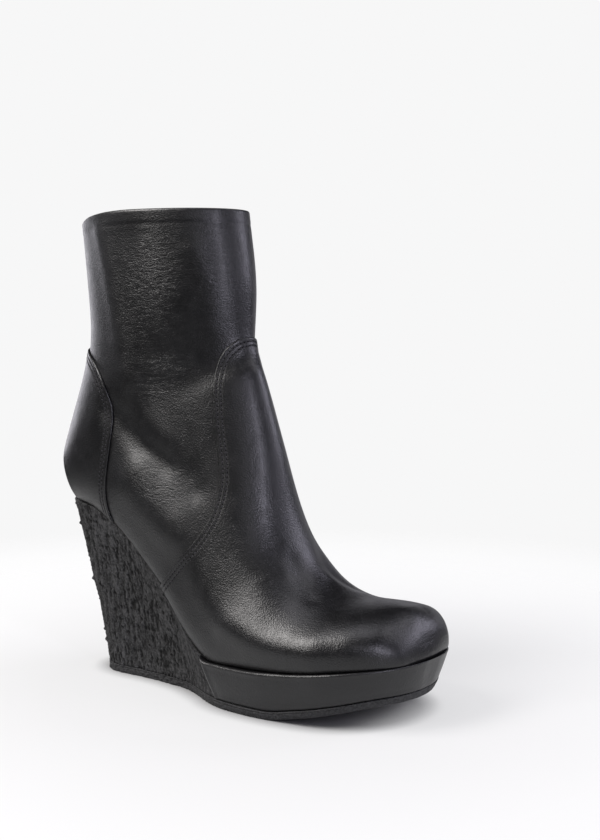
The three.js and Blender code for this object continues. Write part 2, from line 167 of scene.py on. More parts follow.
# %% [markdown]
# ## The last as one skin
# A boot upper is leather pulled over a last, so its form is one smooth skin from the toe to the
# collar. It could be sculpted, but then it would drift from the solids. Here it is drawn from
# the same sections as the solids: each lies in a plane that fans from the toe round the ankle
# up to the collar, and is a rounded ring with its own belly, sharper towards the sole. They are
# read at more than 400 places, spread evenly round the ring, and blurred a little, because
# gloss shows each small change of curvature that a plain solid forgives.

# %% The sections
# Each row holds top x and z, base x and z, width, belly, lower corner and upper corner, as
# shares. The corners are powers: 2 is an ellipse, and more is squarer.
FOOT_SECTIONS = [
    (0.975, 0.106, 0.98, -0.1, 0.5, 0.5, 2.2, 2), (0.969, 0.132, 0.973, -0.7, 0.95, 0.48, 3, 2),
    (0.952, 0.168, 0.955, -0.9, 0.97, 0.46, 3.8, 2), (0.92, 0.203, 0.92, -1, 0.97, 0.43, 4, 2.1),
    (0.873, 0.213, 0.871, -1, 0.97, 0.41, 4, 2.1), (0.819, 0.212, 0.812, -1, 0.97, 0.39, 4, 2.1),
    (0.764, 0.236, 0.75, -1, 0.97, 0.36, 4, 2), (0.718, 0.292, 0.683, -1, 0.97, 0.33, 4, 1.9),
    (0.69, 0.363, 0.617, -1, 0.97, 0.31, 4, 1.9), (0.667, 0.434, 0.546, -1.3, 0.98, 0.3, 4, 1.9),
    (0.65, 0.515, 0.471, -1.8, 0.99, 0.3, 4, 1.9), (0.635, 0.609, 0.396, -2.2, 1, 0.3, 4, 1.9),
    (0.621, 0.708, 0.312, -2.2, 1.01, 0.3, 3.8, 1.9),
    (0.601, 0.825, 0.225, -2, 1.02, 0.3, 3.2, 1.9),
    (0.584, 0.922, 0.148, -1.4, 1.03, 0.3, 2.5, 1.9),
    (0.567, 1.007, 0.063, -0.7, 1.03, 0.3, 2.1, 1.9)]
SHAFT_SECTIONS = [
    (1.133, 0.076, -1.329, 0.045, 0.98, 0.33, 1.9, 1.9),
    (1.078, 0.189, -1.273, 0.12, 0.98, 0.37, 1.9, 1.9),
    (1.071, 0.331, -1.152, 0.25, 0.97, 0.42, 1.9, 2),
    (1.071, 0.48, -0.998, 0.39, 0.97, 0.46, 1.95, 2),
    (1.052, 0.63, -0.908, 0.54, 0.98, 0.49, 2, 2), (1.015, 0.79, -0.946, 0.72, 1, 0.5, 2, 2),
    (0.968, 1, -1.02, 1, 1, 0.5, 2, 2)]


def sections():
    """The table of all sections in millimetres, from the toe to the collar."""
    rows = []
    for top_x, top_z, base_x, base_z, wide, belly, low, high in FOOT_SECTIONS:
        tx, bx = top_x * LENGTH, base_x * LENGTH
        half = last_plan(bx + (tx - bx) * belly)[0] * wide
        rows.append((tx, PLATFORM_HEIGHT + top_z * INSTEP_RISE, bx, seat(bx) + base_z * HEEL_TUCK,
                     last_plan(tx)[1], last_plan(bx)[1], half, belly, low, high))
    bend, bulge = PLATFORM_HEIGHT + INSTEP_RISE, HEEL_HEIGHT + HEEL_BULGE
    for front, front_z, back, back_z, wide, belly, low, high in SHAFT_SECTIONS:
        rows.append((SHAFT_CENTRE + front * SHAFT_DEPTH / 2, bend + (BOOT_HEIGHT - bend) * front_z,
                     SHAFT_CENTRE + back * SHAFT_DEPTH / 2, bulge + (BOOT_HEIGHT - bulge) * back_z,
                     0, 0, wide * SHAFT_WIDTH / 2, belly, low, high))
    return np.array(rows, float)


# %% The skin grid
PER_SECTION, HALF_ROUND, CAP_ROWS, FINE_ROUND = 20, 180, 12, 1440
SECTION_BLUR, BLURRED_FROM, CAP_RISE = 7, (3.5, 7), 0.6
# blurs round the rings and from ring to ring, and the rows between which the tip's blur ends
SKIN_BLUR, TIP_BLUR, TIP_ROWS = (2.2, 2), (9, 6), (55, 20)
NORMAL_BLUR, NORMAL_ROWS = (3, 4), (50, 30)


def soften(values, sigma, axis, closed):
    """A gaussian blur along one axis. An open axis keeps its two ends where they are."""
    reach = int(3 * sigma) + 1
    weight = np.exp(-0.5 * (np.arange(-reach, reach + 1) / sigma) ** 2)
    values = np.moveaxis(values, axis, 0)
    if closed:
        wide = np.concatenate([values[-reach:], values, values[:reach]])
    else:
        wide = np.concatenate([2 * values[:1] - values[reach:0:-1], values,
                               2 * values[-1:] - values[-2:-reach - 2:-1]])
    out = sum(w * wide[i:i + len(values)] for i, w in enumerate(weight / weight.sum()))
    return np.moveaxis(out, 0, axis)


def blurred(rings, around, across):
    """A grid of closed rings, blurred round each ring and then from ring to ring."""
    return soften(soften(rings, around, 1, True), across, 0, False)


def ring_points(rows, turns):
    """The closed ring of each section, from its base round the outside to its top and back."""
    tx, tz, bx, bz, ty, by, half, belly, low, high = [rows[:, [i]] for i in range(10)]
    down, out = np.cos(turns)[None], -np.sin(turns)[None]
    power = 2 / np.where(down > 0, low, high)
    arc = np.abs(down) ** power
    rise = np.where(down > 0, belly * (1 - arc), belly + (1 - belly) * arc)
    side = np.sign(out) * np.abs(out) ** power * half
    x, z = bx + (tx - bx) * rise, bz + (tz - bz) * rise
    return np.stack([x, by + (ty - by) * rise + side, z], -1)


def walked(line):
    """The way along a line of points, 0 at its first point."""
    return np.concatenate([[0], np.cumsum(np.linalg.norm(np.diff(line, axis=0), axis=1))])


def read_along(values, gone, want):
    """Rows of values, read at the wanted places of the way."""
    return np.stack([np.interp(want, gone, column) for column in values.T], -1)


def evened(line, count):
    """The same line as a number of points, spread evenly along it."""
    gone = walked(line)
    return read_along(line, gone, np.linspace(0, gone[-1], count))


def skin_grid():
    """Rings round the boot from the tip of the toe to the collar, on the leather's outside."""
    table = sections()
    orders = np.linspace(0, len(table) - 1, PER_SECTION * (len(table) - 1) + 1)
    rows = curve(table, np.arange(len(table), dtype=float), orders)
    share = smooth(*BLURRED_FROM, orders)[:, None]
    rows = rows + (soften(rows, SECTION_BLUR, 0, False) - rows) * share
    rings = ring_points(rows, 2 * np.pi * np.arange(FINE_ROUND + 1) / FINE_ROUND)
    under = FINE_ROUND // 2
    grid = np.array([np.concatenate([evened(r[:under + 1], HALF_ROUND + 1),
                                     evened(r[under:], HALF_ROUND + 1)[1:]]) for r in rings])
    middle = grid[0, :-1].mean(0)
    turn = np.linspace(np.pi / 2, 0, CAP_ROWS + 1)[:-1, None, None]
    cap = middle + (grid[0] - middle) * np.cos(turn) + np.array([CAP_RISE, 0, 0]) * np.sin(turn)
    grid = np.concatenate([cap, grid])
    ring = blurred(grid[:, :-1], *SKIN_BLUR)
    calm = blurred(ring, *TIP_BLUR)
    ring = ring + (calm - ring) * smooth(*TIP_ROWS, np.arange(len(ring)))[:, None, None]
    return np.concatenate([ring, ring[:, :1]], 1)


def collar_dip(x):
    """How far the collar's edge lies below the boot's height: it dips towards the back."""
    dip = np.array([(0.08, 0.023), (0.125, 0.016), (0.18, 0.007), (0.25, 0.0015), (0.32, 0)])
    return BOOT_HEIGHT * along_boot(dip, x)[..., 0]


def unit(vectors):
    return vectors / np.maximum(np.linalg.norm(vectors, axis=-1, keepdims=True), 1e-9)


def outward(grid, tip=False):
    """Unit normals of a grid. With a tip, row 0 is one point, and the rows near it are calmed."""
    normal = np.cross(np.gradient(grid, axis=1), np.gradient(grid, axis=0))
    normal[:, 0] = normal[:, -1] = normal[:, 0] + normal[:, -1]
    normal = unit(normal)
    middle = grid[:, :-1].mean(1, keepdims=True)
    normal *= np.sign(np.median(((grid - middle) * normal).sum(-1)))
    if tip:
        normal[0] = (1, 0, 0)
        calm = blurred(normal[:, :-1], *NORMAL_BLUR)
        calm = np.concatenate([calm, calm[:, :1]], 1)
        share = smooth(*NORMAL_ROWS, np.arange(len(grid)))[:, None, None]
        normal = unit(normal + (calm - normal) * share)
    return normal


skin = skin_grid()
skin[..., 2] -= collar_dip(skin[..., 0]) * smooth(200, BOOT_HEIGHT, skin[..., 2])
print("skin:", skin.shape, *skin.min((0, 1)).round(1), "to", *skin.max((0, 1)).round(1), "mm")

# %% [markdown]
# ## Creases listed one by one
# Worn and handled leather does not lie like glass. It falls into a few soft troughs where the
# ankle bends, stands over the ankle bone, and breaks across the toe joint. A cloth run would
# put such folds where it likes, so each one is drawn here as a short line on the boot with a
# height in millimetres and a width, and the skin is lifted or lowered along its own normal.
# The same lift acts on all layers, because the panels lie on the leather under them.

# %% The creases
# height, width, then points on the outside of the boot as x, y, z
CREASES = [
    (1.2, 7.0, [(54, -31, 239), (59, -31, 224), (64, -31, 204), (69, -31, 181), (76, -31, 162)]),
    (-0.7, 9.0, [(76, -33, 236), (80, -32, 204), (84, -32, 180), (90, -30, 160)]),
    (0.6, 6.5, [(70, -31, 164), (77, -31, 152), (86, -30, 141), (98, -30, 132)]),
    (-1.8, 7.0, [(60, -31, 146), (70, -31, 137), (82, -31, 128), (98, -30, 119)]),
    (3.9, 15.0, [(77, -33, 107), (87, -33, 97), (102, -34, 88)]),
    (-0.9, 6.0, [(113, -28, 114), (117, -27, 106)]),
    (0.9, 9.0, [(114, -36, 80), (130, -38, 58), (146, -40, 44), (172, -42, 36), (192, -40, 36)]),
    (1.0, 7.5, [(146, -40, 43), (160, -41, 37), (180, -42, 35), (194, -39, 36)]),
    (-0.7, 4.5, [(166, -12, 73), (174, -14, 64), (181, -18, 57)]),
    (-0.6, 4.0, [(178, 2, 62), (186, -6, 56), (192, -14, 53)]),
    (-0.4, 4.0, [(170, 8, 70), (180, 16, 59), (188, 22, 53)]),
    (0.5, 6.0, [(112, -22, 228), (118, -17, 206), (120, -16, 186)]),
    (1.6, 9.0, [(225, 4, 49), (229, 15, 46), (226, 27, 46)]),
]


def near_line(points, line):
    """Distance of each point to a broken line."""
    best = np.full(points.shape[:-1], 1e9)
    for a, b in zip(line[:-1], line[1:]):
        a, b = np.array(a, float), np.array(b, float)
        along = np.clip(((points - a) @ (b - a)) / ((b - a) @ (b - a)), 0, 1)
        best = np.minimum(best, np.linalg.norm(points - a - along[..., None] * (b - a), axis=-1))
    return best


def on_skin(line):
    """Lays a listed line onto the skin, so that its crease is centred on the leather."""
    flat = skin.reshape(-1, 3)
    return [flat[np.argmin(((flat - np.array(p)) ** 2).sum(-1))] for p in line]


# a crease that stays outside of this line is repeated, weaker, on the inside of the boot
SIDE_LINE, INNER_SHARE = -16, 0.75


def crease_lift():
    """Height of all creases at each point of the skin."""
    lift = np.zeros(skin.shape[:2])
    for height, width, line in CREASES:
        lift += height * np.exp(-(near_line(skin, on_skin(line)) / width) ** 2)
        if min(y for _, y, _ in line) <= SIDE_LINE:
            inner = [(x, -y, z) for x, y, z in line]
            lift += INNER_SHARE * height * np.exp(-(near_line(skin, on_skin(inner)) / width) ** 2)
    return lift


lift = crease_lift()
skin = skin + outward(skin, True) * lift[..., None]
normals = outward(skin, True)
print("creases: highest", lift.max().round(2), "mm, deepest", lift.min().round(2), "mm")


# %% Where the leather crinkles
# strength, half length and half height, then the middle, all in millimetres
CRINKLE_DEPTH, CRINKLE_INNER = 14, 0.8
CRINKLES = [
    (0.5, 15, 20, (90, -31, 218)), (0.22, 26, 34, (84, -31, 200)), (0.5, 7, 26, (121, -14, 216)),
    (0.7, 13, 5, (96, -29, 170)), (0.6, 12, 5, (88, -30, 158)), (0.3, 12, 40, (46, -29, 210)),
    (0.3, 10, 9, (138, -34, 72)), (0.25, 14, 9, (180, -10, 58)), (0.5, 18, 12, (94, -31, 108)),
]


def crinkle_mark(points):
    """How strongly the leather crinkles, from 0 to 1. The inside repeats the outside."""
    total = np.zeros(points.shape[:-1])
    for strength, long, high, (x, y, z) in CRINKLES:
        for side, share in ((1, 1.0), (-1, CRINKLE_INNER)):
            off = (points - (x, side * y, z)) / (long, CRINKLE_DEPTH, high)
            total += share * strength * np.exp(-(off ** 2).sum(-1))
    return np.clip(total, 0, 1)


# %% Reading the skin
def at(grid, row, column):
    """The grid's value between its rows and columns."""
    row = np.clip(row, 0, grid.shape[0] - 1.001)
    column = np.mod(column, grid.shape[1] - 1)
    r, c = np.floor(row).astype(int), np.floor(column).astype(int)
    c = np.minimum(c, grid.shape[1] - 2)
    a, b = (row - r)[..., None], (column - c)[..., None]
    return ((grid[r, c] * (1 - b) + grid[r, c + 1] * b) * (1 - a)
            + (grid[r + 1, c] * (1 - b) + grid[r + 1, c + 1] * b) * a)


TUCK_HEIGHT, TUCK, FLOOR_GAP = 1.5, 0.45, -0.4


def laid(row, column, height, floor_gap=FLOOR_GAP):
    """Points at a height above the leather. Near the sole they tuck in, and none goes below it."""
    points, out = at(skin, row, column), at(normals, row, column)
    above = points[..., 2] - seat(points[..., 0])
    tuck = TUCK * (1 - smooth(0, TUCK_HEIGHT, above)) ** 2
    level = out * np.array([1, 1, 0])
    points = points + out * np.asarray(height)[..., None] - level * tuck[..., None]
    points[..., 2] = np.maximum(points[..., 2], seat(points[..., 0]) + floor_gap)
    return points
# %% [markdown]
# ## Turning points into pieces
# Every piece is made the same way: points in the shoemaker's millimetres, faces between them,
# the shift to the frame, and smooth shading. One helper does this, so that each later cell
# only has to say what is particular to its piece.

# %% Helpers for meshes
MM = 0.001


def grid_faces(rows, columns, closed=False):
    """Squares between neighbouring rows and columns of points numbered row by row."""
    wrap = columns if closed else columns - 1
    r, c = np.meshgrid(np.arange(rows - 1), np.arange(wrap), indexing="ij")
    here, right = r * columns + c, r * columns + (c + 1) % columns
    squares = np.stack([here, right, right + columns, here + columns], -1).reshape(-1, 4)
    return [tuple(f) for f in squares.tolist()]


def moved_on(faces, count):
    """The same faces on points that are numbered from count on."""
    return [tuple(i + count for i in f) for f in faces]


def make_piece(name, points, faces, marks=None, finishes=(0,)):
    """A smooth mesh object in the frame. marks are values per point, for the materials."""
    mesh = bpy.data.meshes.new(name)
    mesh.from_pydata((MM * (np.asarray(points) + SHIFT)).reshape(-1, 3).tolist(), [], faces)
    mesh.validate()
    mesh.shade_smooth()
    for mark, values in (marks or {}).items():
        layer = mesh.attributes.new(mark, "FLOAT", "POINT")
        layer.data.foreach_set("value", np.asarray(values, np.float32).ravel())
    if len(finishes) > 1:
        mesh.polygons.foreach_set("material_index", np.asarray(finishes, np.int32))
    piece = bpy.data.objects.new(name, mesh)
    bpy.context.collection.objects.link(piece)
    return piece


def weld(piece):
    """Joins points that lie on each other and turns all faces outward."""
    work = bmesh.new()
    work.from_mesh(piece.data)
    bmesh.ops.remove_doubles(work, verts=work.verts, dist=0.02 * MM)
    loose = [v for v in work.verts if not v.link_faces]
    bmesh.ops.delete(work, geom=loose, context="VERTS")
    bmesh.ops.recalc_face_normals(work, faces=work.faces)
    work.to_mesh(piece.data)
    work.free()
    piece.data.shade_smooth()


def say(piece):
    """Prints what was made: points, faces and size."""
    mesh, size = piece.data, [round(v / MM, 1) for v in piece.dimensions]
    print(piece.name, len(mesh.vertices), "points,", len(mesh.polygons), "faces,", size, "mm")



# %% [markdown]
# ## The leather upper
# The upper is one shell: the outside leather, a rolled collar, and a lining inside. A solidify
# modifier would give the same thickness everywhere, but the collar of this boot is folded, so it
# is a little thicker for its last few millimetres and has a shallow groove under the fold.
# The shell is drawn as one long grid: outside from toe to collar, over the rim, and back down.

# %% upper_leather
LINED_WALL, ROUND, RIM = 2.4, 240, 1.4
HEM_HEIGHT, HEM_LIFT, HEM_GROOVE, HEM_SOFT = 5.6, 0.12, 0.1, 0.9
FIRST_ROW, ROW_STEP, HEM_ROWS, LINING_ROWS, RIM_TURNS = 0.5, 2.2, 33, 64, 10


def hem(row, column):
    """Extra height near the collar: the folded band, and the groove pressed in under it."""
    below = at(skin[-1:].repeat(2, 0), 0 * row, column)[..., 2] - at(skin, row, column)[..., 2]
    band = HEM_LIFT * (1 - smooth(HEM_HEIGHT - HEM_SOFT, HEM_HEIGHT + 0.5, below))
    return band - HEM_GROOVE * np.exp(-((below - HEM_HEIGHT - HEM_SOFT) / HEM_SOFT) ** 2)


last_row = skin.shape[0] - 1.001
around = np.linspace(0, 2 * HALF_ROUND, ROUND + 1)[:-1]
outside_rows = np.concatenate([np.arange(FIRST_ROW, last_row - HEM_ROWS - 1, ROW_STEP),
                               np.linspace(last_row - HEM_ROWS, last_row, 44)])
outside = np.meshgrid(outside_rows, around, indexing="ij")
within = np.meshgrid(np.linspace(last_row, FIRST_ROW, LINING_ROWS), around, indexing="ij")
outer = laid(*outside, hem(*outside))
inner = laid(*within, np.full(within[0].shape, -LINED_WALL), floor_gap=0.2)
middle, half = (outer[-1] + inner[0]) / 2, (outer[-1] - inner[0]) / 2
turn = np.linspace(0, np.pi, RIM_TURNS)[1:-1, None, None]
rim = middle + half * np.cos(turn) + np.array([0, 0, RIM]) * np.sin(turn)
shell = np.concatenate([outer, rim, inner])
shell[..., 2] -= RIM * smooth(BOOT_HEIGHT - 25, BOOT_HEIGHT, shell[..., 2])
faces = [f[::-1] for f in grid_faces(len(shell), ROUND, True)]
lining_from = (len(outer) + RIM_TURNS // 2) * ROUND
upper_leather = make_piece("upper_leather", shell, faces, {"crinkle": crinkle_mark(shell)},
                           [int(f >= lining_from) for f in range(len(faces))])
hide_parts("upper")
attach(upper_leather, "root")
say(upper_leather)

# %% [markdown]
# ## Panels laid on the leather
# The vamp and the counter are separate pieces of leather, cut to a line and sewn on. A boolean
# would leave a hard, square step. Here the seam line of the side view is first found on the
# skin, then a band is walked inward from it, row by row, so that the cut edge can be rounded
# and the two rows of stitches can sink in. The field inside the band is filled with triangles.

# %% Seam lines in the side view
# shares of the length and of the boot's height, from the top of each seam down
VAMP_SEAM = [(0.62, 0.741), (0.54, 0.74), (0.533, 0.735), (0.517, 0.717), (0.504, 0.694),
             (0.499, 0.659), (0.505, 0.608), (0.516, 0.547), (0.529, 0.493), (0.538, 0.439),
             (0.533, 0.387), (0.507, 0.331), (0.464, 0.283), (0.4, 0.22), (0.34, 0.16)]
COUNTER_SEAM = [(0, 0.722), (0.12, 0.71), (0.18, 0.689), (0.209, 0.67), (0.24, 0.633),
                (0.255, 0.59), (0.258, 0.548), (0.252, 0.494), (0.243, 0.439), (0.236, 0.4),
                (0.235, 0.365), (0.247, 0.33), (0.27, 0.3), (0.3, 0.27), (0.33, 0.24)]


def side_line(seam):
    """The seam as a dense, slightly softened line in the side view, in millimetres."""
    points = np.array(seam) * (LENGTH, BOOT_HEIGHT)
    gone = walked(points)
    return soften(curve(points, gone, np.arange(0, gone[-1], 1.0)), 3, 0, False)


def across(line, x, z):
    """Distance to the line in the side view, negative on its left, and the place along it."""
    best, sign, place = np.full(x.shape, 1e9), np.ones(x.shape), np.zeros(x.shape)
    for k, (a, b) in enumerate(zip(line[:-1], line[1:])):
        run = b - a
        t = np.clip(((x - a[0]) * run[0] + (z - a[1]) * run[1]) / (run @ run), 0, 1)
        dx, dz = x - a[0] - t * run[0], z - a[1] - t * run[1]
        gap = np.hypot(dx, dz)
        closer = gap < best
        best = np.where(closer, gap, best)
        sign = np.where(closer, np.sign(run[1] * dx - run[0] * dz), sign)
        place = np.where(closer, k + t, place)
    return best * sign, place


def seam_half(line, grid):
    """Where the seam crosses the grid's lines on one side, in order, as rows and columns."""
    gap = across(line, grid[..., 0], grid[..., 2])[0]
    rows, columns, points = [], [], []
    for axis in (0, 1):
        first, second = (gap[:-1], gap[1:]) if axis == 0 else (gap[:, :-1], gap[:, 1:])
        r, c = np.nonzero((first > 0) != (second > 0))
        part = first[r, c] / (first[r, c] - second[r, c])
        rows.append(r + part * (axis == 0))
        columns.append(c + part * (axis == 1))
        far = grid[r + (axis == 0), c + (axis == 1)]
        points.append(grid[r, c] + (far - grid[r, c]) * part[:, None])
    rows, columns, points = map(np.concatenate, (rows, columns, points))
    place = across(line, points[:, 0], points[:, 2])[1]
    under = points[:, 2] < seat(points[:, 0])
    order = np.argsort(np.where(under, len(line) + HALF_ROUND - columns, place))
    return rows[order], columns[order]


def even_path(rows, columns, spacing, closed=False):
    """The same path with points at an even spacing over the leather."""
    gone = walked(at(skin, rows, columns))
    want = np.linspace(0, gone[-1], max(8, int(round(gone[-1] / spacing))) + 1)
    path = read_along(np.stack([rows, columns], -1), gone, want)
    return path[:-1] if closed else path


def seam_path(seam, closed):
    """The whole seam over both sides, as rows and columns of the skin."""
    line, far_side = side_line(seam), skin[:, ::-1]
    rows_a, columns_a = seam_half(line, skin[:, :HALF_ROUND + 1])
    rows_b, columns_b = seam_half(line, far_side[:, :HALF_ROUND + 1])
    rows = np.concatenate([rows_a[::-1], rows_b])
    columns = np.concatenate([columns_a[::-1], (0 if closed else 2 * HALF_ROUND) - columns_b])
    return soften(even_path(rows, columns, 0.5), 3, 0, False)


# %% Walking in from the seam
LONGEST_STEP = 0.5


def walk(path, step):
    """Moves each point of a path by a short vector that lies in the skin."""
    row, column = path[:, 0], path[:, 1]
    along_row = at(skin, row + 0.5, column) - at(skin, row - 0.5, column)
    along_column = at(skin, row, column + 0.5) - at(skin, row, column - 0.5)
    a, c = (along_row ** 2).sum(-1), (along_column ** 2).sum(-1)
    b = (along_row * along_column).sum(-1)
    u, v = (along_row * step).sum(-1), (along_column * step).sum(-1)
    area = a * c - b * b
    return path + np.stack([(c * u - b * v) / area, (a * v - b * u) / area], -1)


def inward_steps(path, closed, towards):
    """Unit vectors across the seam, in the skin, on the side of a given point."""
    points, out = at(skin, *path.T), at(normals, *path.T)
    ahead = np.gradient(points, axis=0)
    if closed:
        ahead = np.roll(points, -1, 0) - np.roll(points, 1, 0)
    inward = unit(soften(unit(np.cross(out, ahead)), 4, 0, closed))
    middle = len(path) // 2
    return inward * np.sign((inward[middle] * (np.array(towards) - points[middle])).sum())


def walk_in(path, inward, distances, closed):
    """Paths at the given distances from the seam."""
    paths, now, gone = [], path, 0.0
    for distance in distances:
        while gone < distance - 1e-6:
            step = min(LONGEST_STEP, distance - gone)
            now = walk(now, inward * step)
            if not closed:
                now[0, 1], now[-1, 1] = path[0, 1], path[-1, 1]
            gone += step
        paths.append(now)
    return np.array(paths)


# %% Filling a panel
def inside(points, outline):
    """Which points lie inside a closed outline."""
    a, b = outline, np.roll(outline, -1, 0)
    x, y = points[:, :1], points[:, 1:]
    spans = (a[:, 1] > y) != (b[:, 1] > y)
    run = np.where(b[:, 1] == a[:, 1], 1e-9, b[:, 1] - a[:, 1])
    return (spans & (x < a[:, 0] + (y - a[:, 1]) / run * (b[:, 0] - a[:, 0]))).sum(1) % 2 == 1


def fill(outline, field, clear):
    """Triangles inside a closed outline, over the field's points that keep clear of it."""
    field = field[inside(field, outline)]
    keep = [np.hypot(*(outline - p).T).min() > clear for p in field]
    points = np.concatenate([outline, field[np.array(keep, bool)]])
    edges = [(k, (k + 1) % len(outline)) for k in range(len(outline))]
    done = delaunay_2d_cdt([Vector(p) for p in points.tolist()], edges, [], 1, 1e-5)
    return np.array([tuple(v) for v in done[0]]), [tuple(f) for f in done[2]]


PANEL, UNDER_PANEL, EDGE_ROUND = 1.2, 0.08, 0.7
STITCH_ROWS, GROOVE, GROOVE_WIDTH = (2.4, 4.6), 0.12, 0.45
FILL_STEP, FILL_SCALE, FILL_CLEAR = 2.0, np.array([0.8, 0.75]), 0.9
# distances from the seam at which the band has points, closer at its edge and stitch rows
BAND = [0, 0.06, 0.16, 0.3, 0.5, 0.75, 1.1, 1.5, 1.85, 2.1, 2.4, 2.7, 2.95, 3.5, 4.05, 4.3, 4.6,
        4.9, 5.2, 5.8, 6.6]


def band_height(distance):
    """The panel's height over the leather: a rounded cut edge, then two shallow sewn lines."""
    edge = np.clip(distance / EDGE_ROUND, 0, 1)
    height = UNDER_PANEL + (PANEL - UNDER_PANEL) * np.sqrt(1 - (1 - edge) ** 2)
    for row in STITCH_ROWS:
        height = height - GROOVE * np.exp(-((distance - row) / GROOVE_WIDTH) ** 2)
    return height


def sewn_mark(distance):
    """1 on a sewn line, 0 away from it."""
    return sum(np.exp(-((distance - row) / 0.6) ** 2) for row in STITCH_ROWS)


def toe_outline(outline):
    """Closes an open seam's outline along the sole, round one row short of the toe's tip."""
    up, down = [np.arange(2.0, outline[end, 0] - 1.5, 2.0) for end in (-1, 0)]
    rim = np.arange(2.0, 2 * HALF_ROUND - 1, 2.0)
    return np.concatenate([
        outline, np.stack([up[::-1], 0 * up + 2 * HALF_ROUND], -1),
        np.stack([0 * rim + 1.0, rim[::-1]], -1), np.stack([down, 0 * down], -1)])


def sew_panel(name, path, towards, closed):
    """A panel inside its seam, and its stitch rows. An open seam's panel goes round the toe."""
    inward, count = inward_steps(path, closed, towards), len(path)
    band = walk_in(path, inward, BAND, closed)
    outline = band[-1] if closed else toe_outline(band[-1])
    columns = np.arange(0, 2 * HALF_ROUND, FILL_STEP)
    columns = columns - HALF_ROUND if closed else columns[1:]
    rows = np.arange(3.0, outline[:, 0].max(), FILL_STEP)
    field = np.stack(np.meshgrid(rows, columns, indexing="ij"), -1).reshape(-1, 2)
    filled, triangles = fill(outline * FILL_SCALE, field * FILL_SCALE, FILL_CLEAR)
    filled = filled / FILL_SCALE
    places = np.concatenate([band.reshape(-1, 2), filled])
    edge = np.concatenate([np.repeat(BAND, count), np.full(len(filled), BAND[-1])])
    heights = np.concatenate([np.repeat(band_height(np.array(BAND)), count),
                              np.full(len(filled), PANEL)])
    base = len(BAND) * count
    faces = grid_faces(len(BAND), count, closed) + moved_on(triangles, base)
    if not closed:
        ring = [i for i in range(len(filled)) if abs(filled[i, 0] - 1) < 1e-3]
        ring.sort(key=lambda i: filled[i, 1])
        tip = len(places)
        faces += [(tip, base + a, base + b) for a, b in zip(ring, ring[1:] + ring[:1])]
        places = np.concatenate([places, [[0.0, 0.0]]])
        heights, edge = np.append(heights, PANEL), np.append(edge, BAND[-1])
    total = len(places)
    points = np.concatenate([
        laid(*places.T, heights), laid(*places.T, np.full(total, UNDER_PANEL), floor_gap=-0.1)])
    below = [i if i < count else i + total for i in range(total)]
    faces += [tuple(below[i] for i in f[::-1]) for f in faces]
    piece = make_piece(name, points, faces,
                       {"sewn": np.tile(sewn_mark(edge), 2), "crinkle": crinkle_mark(points)})
    weld(piece)
    return piece, walk_in(path, inward, STITCH_ROWS, closed)


# %% vamp_leather
BAND_SPACING = 1.1
vamp_path = seam_path(VAMP_SEAM, closed=False)
vamp_path[0, 1], vamp_path[-1, 1] = 0, 2 * HALF_ROUND
vamp_path = even_path(*vamp_path.T, BAND_SPACING)
vamp_leather, vamp_rows = sew_panel("vamp_leather", vamp_path, (200, 0, 60), closed=False)
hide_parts("vamp")
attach(vamp_leather, "root")
say(vamp_leather)

# %% counter_leather
counter_path = seam_path(COUNTER_SEAM, closed=True)
counter_path = even_path(*counter_path.T, BAND_SPACING, closed=True)
counter_leather, counter_rows = sew_panel(
    "counter_leather", counter_path, (20, 0, 110), closed=True)
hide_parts("counter")
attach(counter_leather, "root")
say(counter_leather)

# %% [markdown]
# ## Stitches
# Two rows of thread follow each seam. A dotted bump would vanish at the edge of the boot, so
# each stitch is a small capsule of thread, a little slanted, with its ends pressed into the
# leather. Between two stitches a small, nearly black body is sunk into the leather: painted shade
# that stands in for the dark inside the needle hole.

# %% Stitches along a row
STITCH_PITCH, STITCH_LENGTH, THREAD, HOLE, HOLE_SINK = 2.3, 1.3, 0.28, 0.52, 0.2
SLANT, SIDES, OVER_SEAT = 0.2, 7, 2.2


def stitches_along(path, closed):
    """Centre, direction and outward normal of each stitch of one row."""
    path = (np.concatenate([path, path[:1]]) if closed else path).T
    points, out = laid(*path, np.full(path.shape[1], PANEL - GROOVE)), at(normals, *path)
    gone = walked(points)
    want = np.arange(STITCH_PITCH / 2, gone[-1], STITCH_PITCH)
    centre, out = read_along(points, gone, want), read_along(out, gone, want)
    run = unit(read_along(points, gone, want + 0.6) - read_along(points, gone, want - 0.6))
    seen = centre[:, 2] > seat(centre[:, 0]) + OVER_SEAT
    return centre[seen], run[seen], out[seen]


def capsules(centre, run, out, rings, wide):
    """Points of a small closed body at each centre: rings are place, width and sink."""
    side = np.cross(out, run)
    turns = 2 * np.pi * np.arange(SIDES) / SIDES
    points = []
    for place, share, sink in rings:
        middle = centre + run * place - out * sink
        for angle in turns:
            points.append(middle + wide * share * (side * np.cos(angle) + out * np.sin(angle)))
    size = SIDES * len(rings)
    faces = grid_faces(len(rings), SIDES, True)
    faces += [tuple(range(SIDES))[::-1], tuple(range(size - SIDES, size))]
    faces = [f for k in range(len(centre)) for f in moved_on(faces, k * size)]
    return np.stack(points, 1).reshape(-1, 3), faces


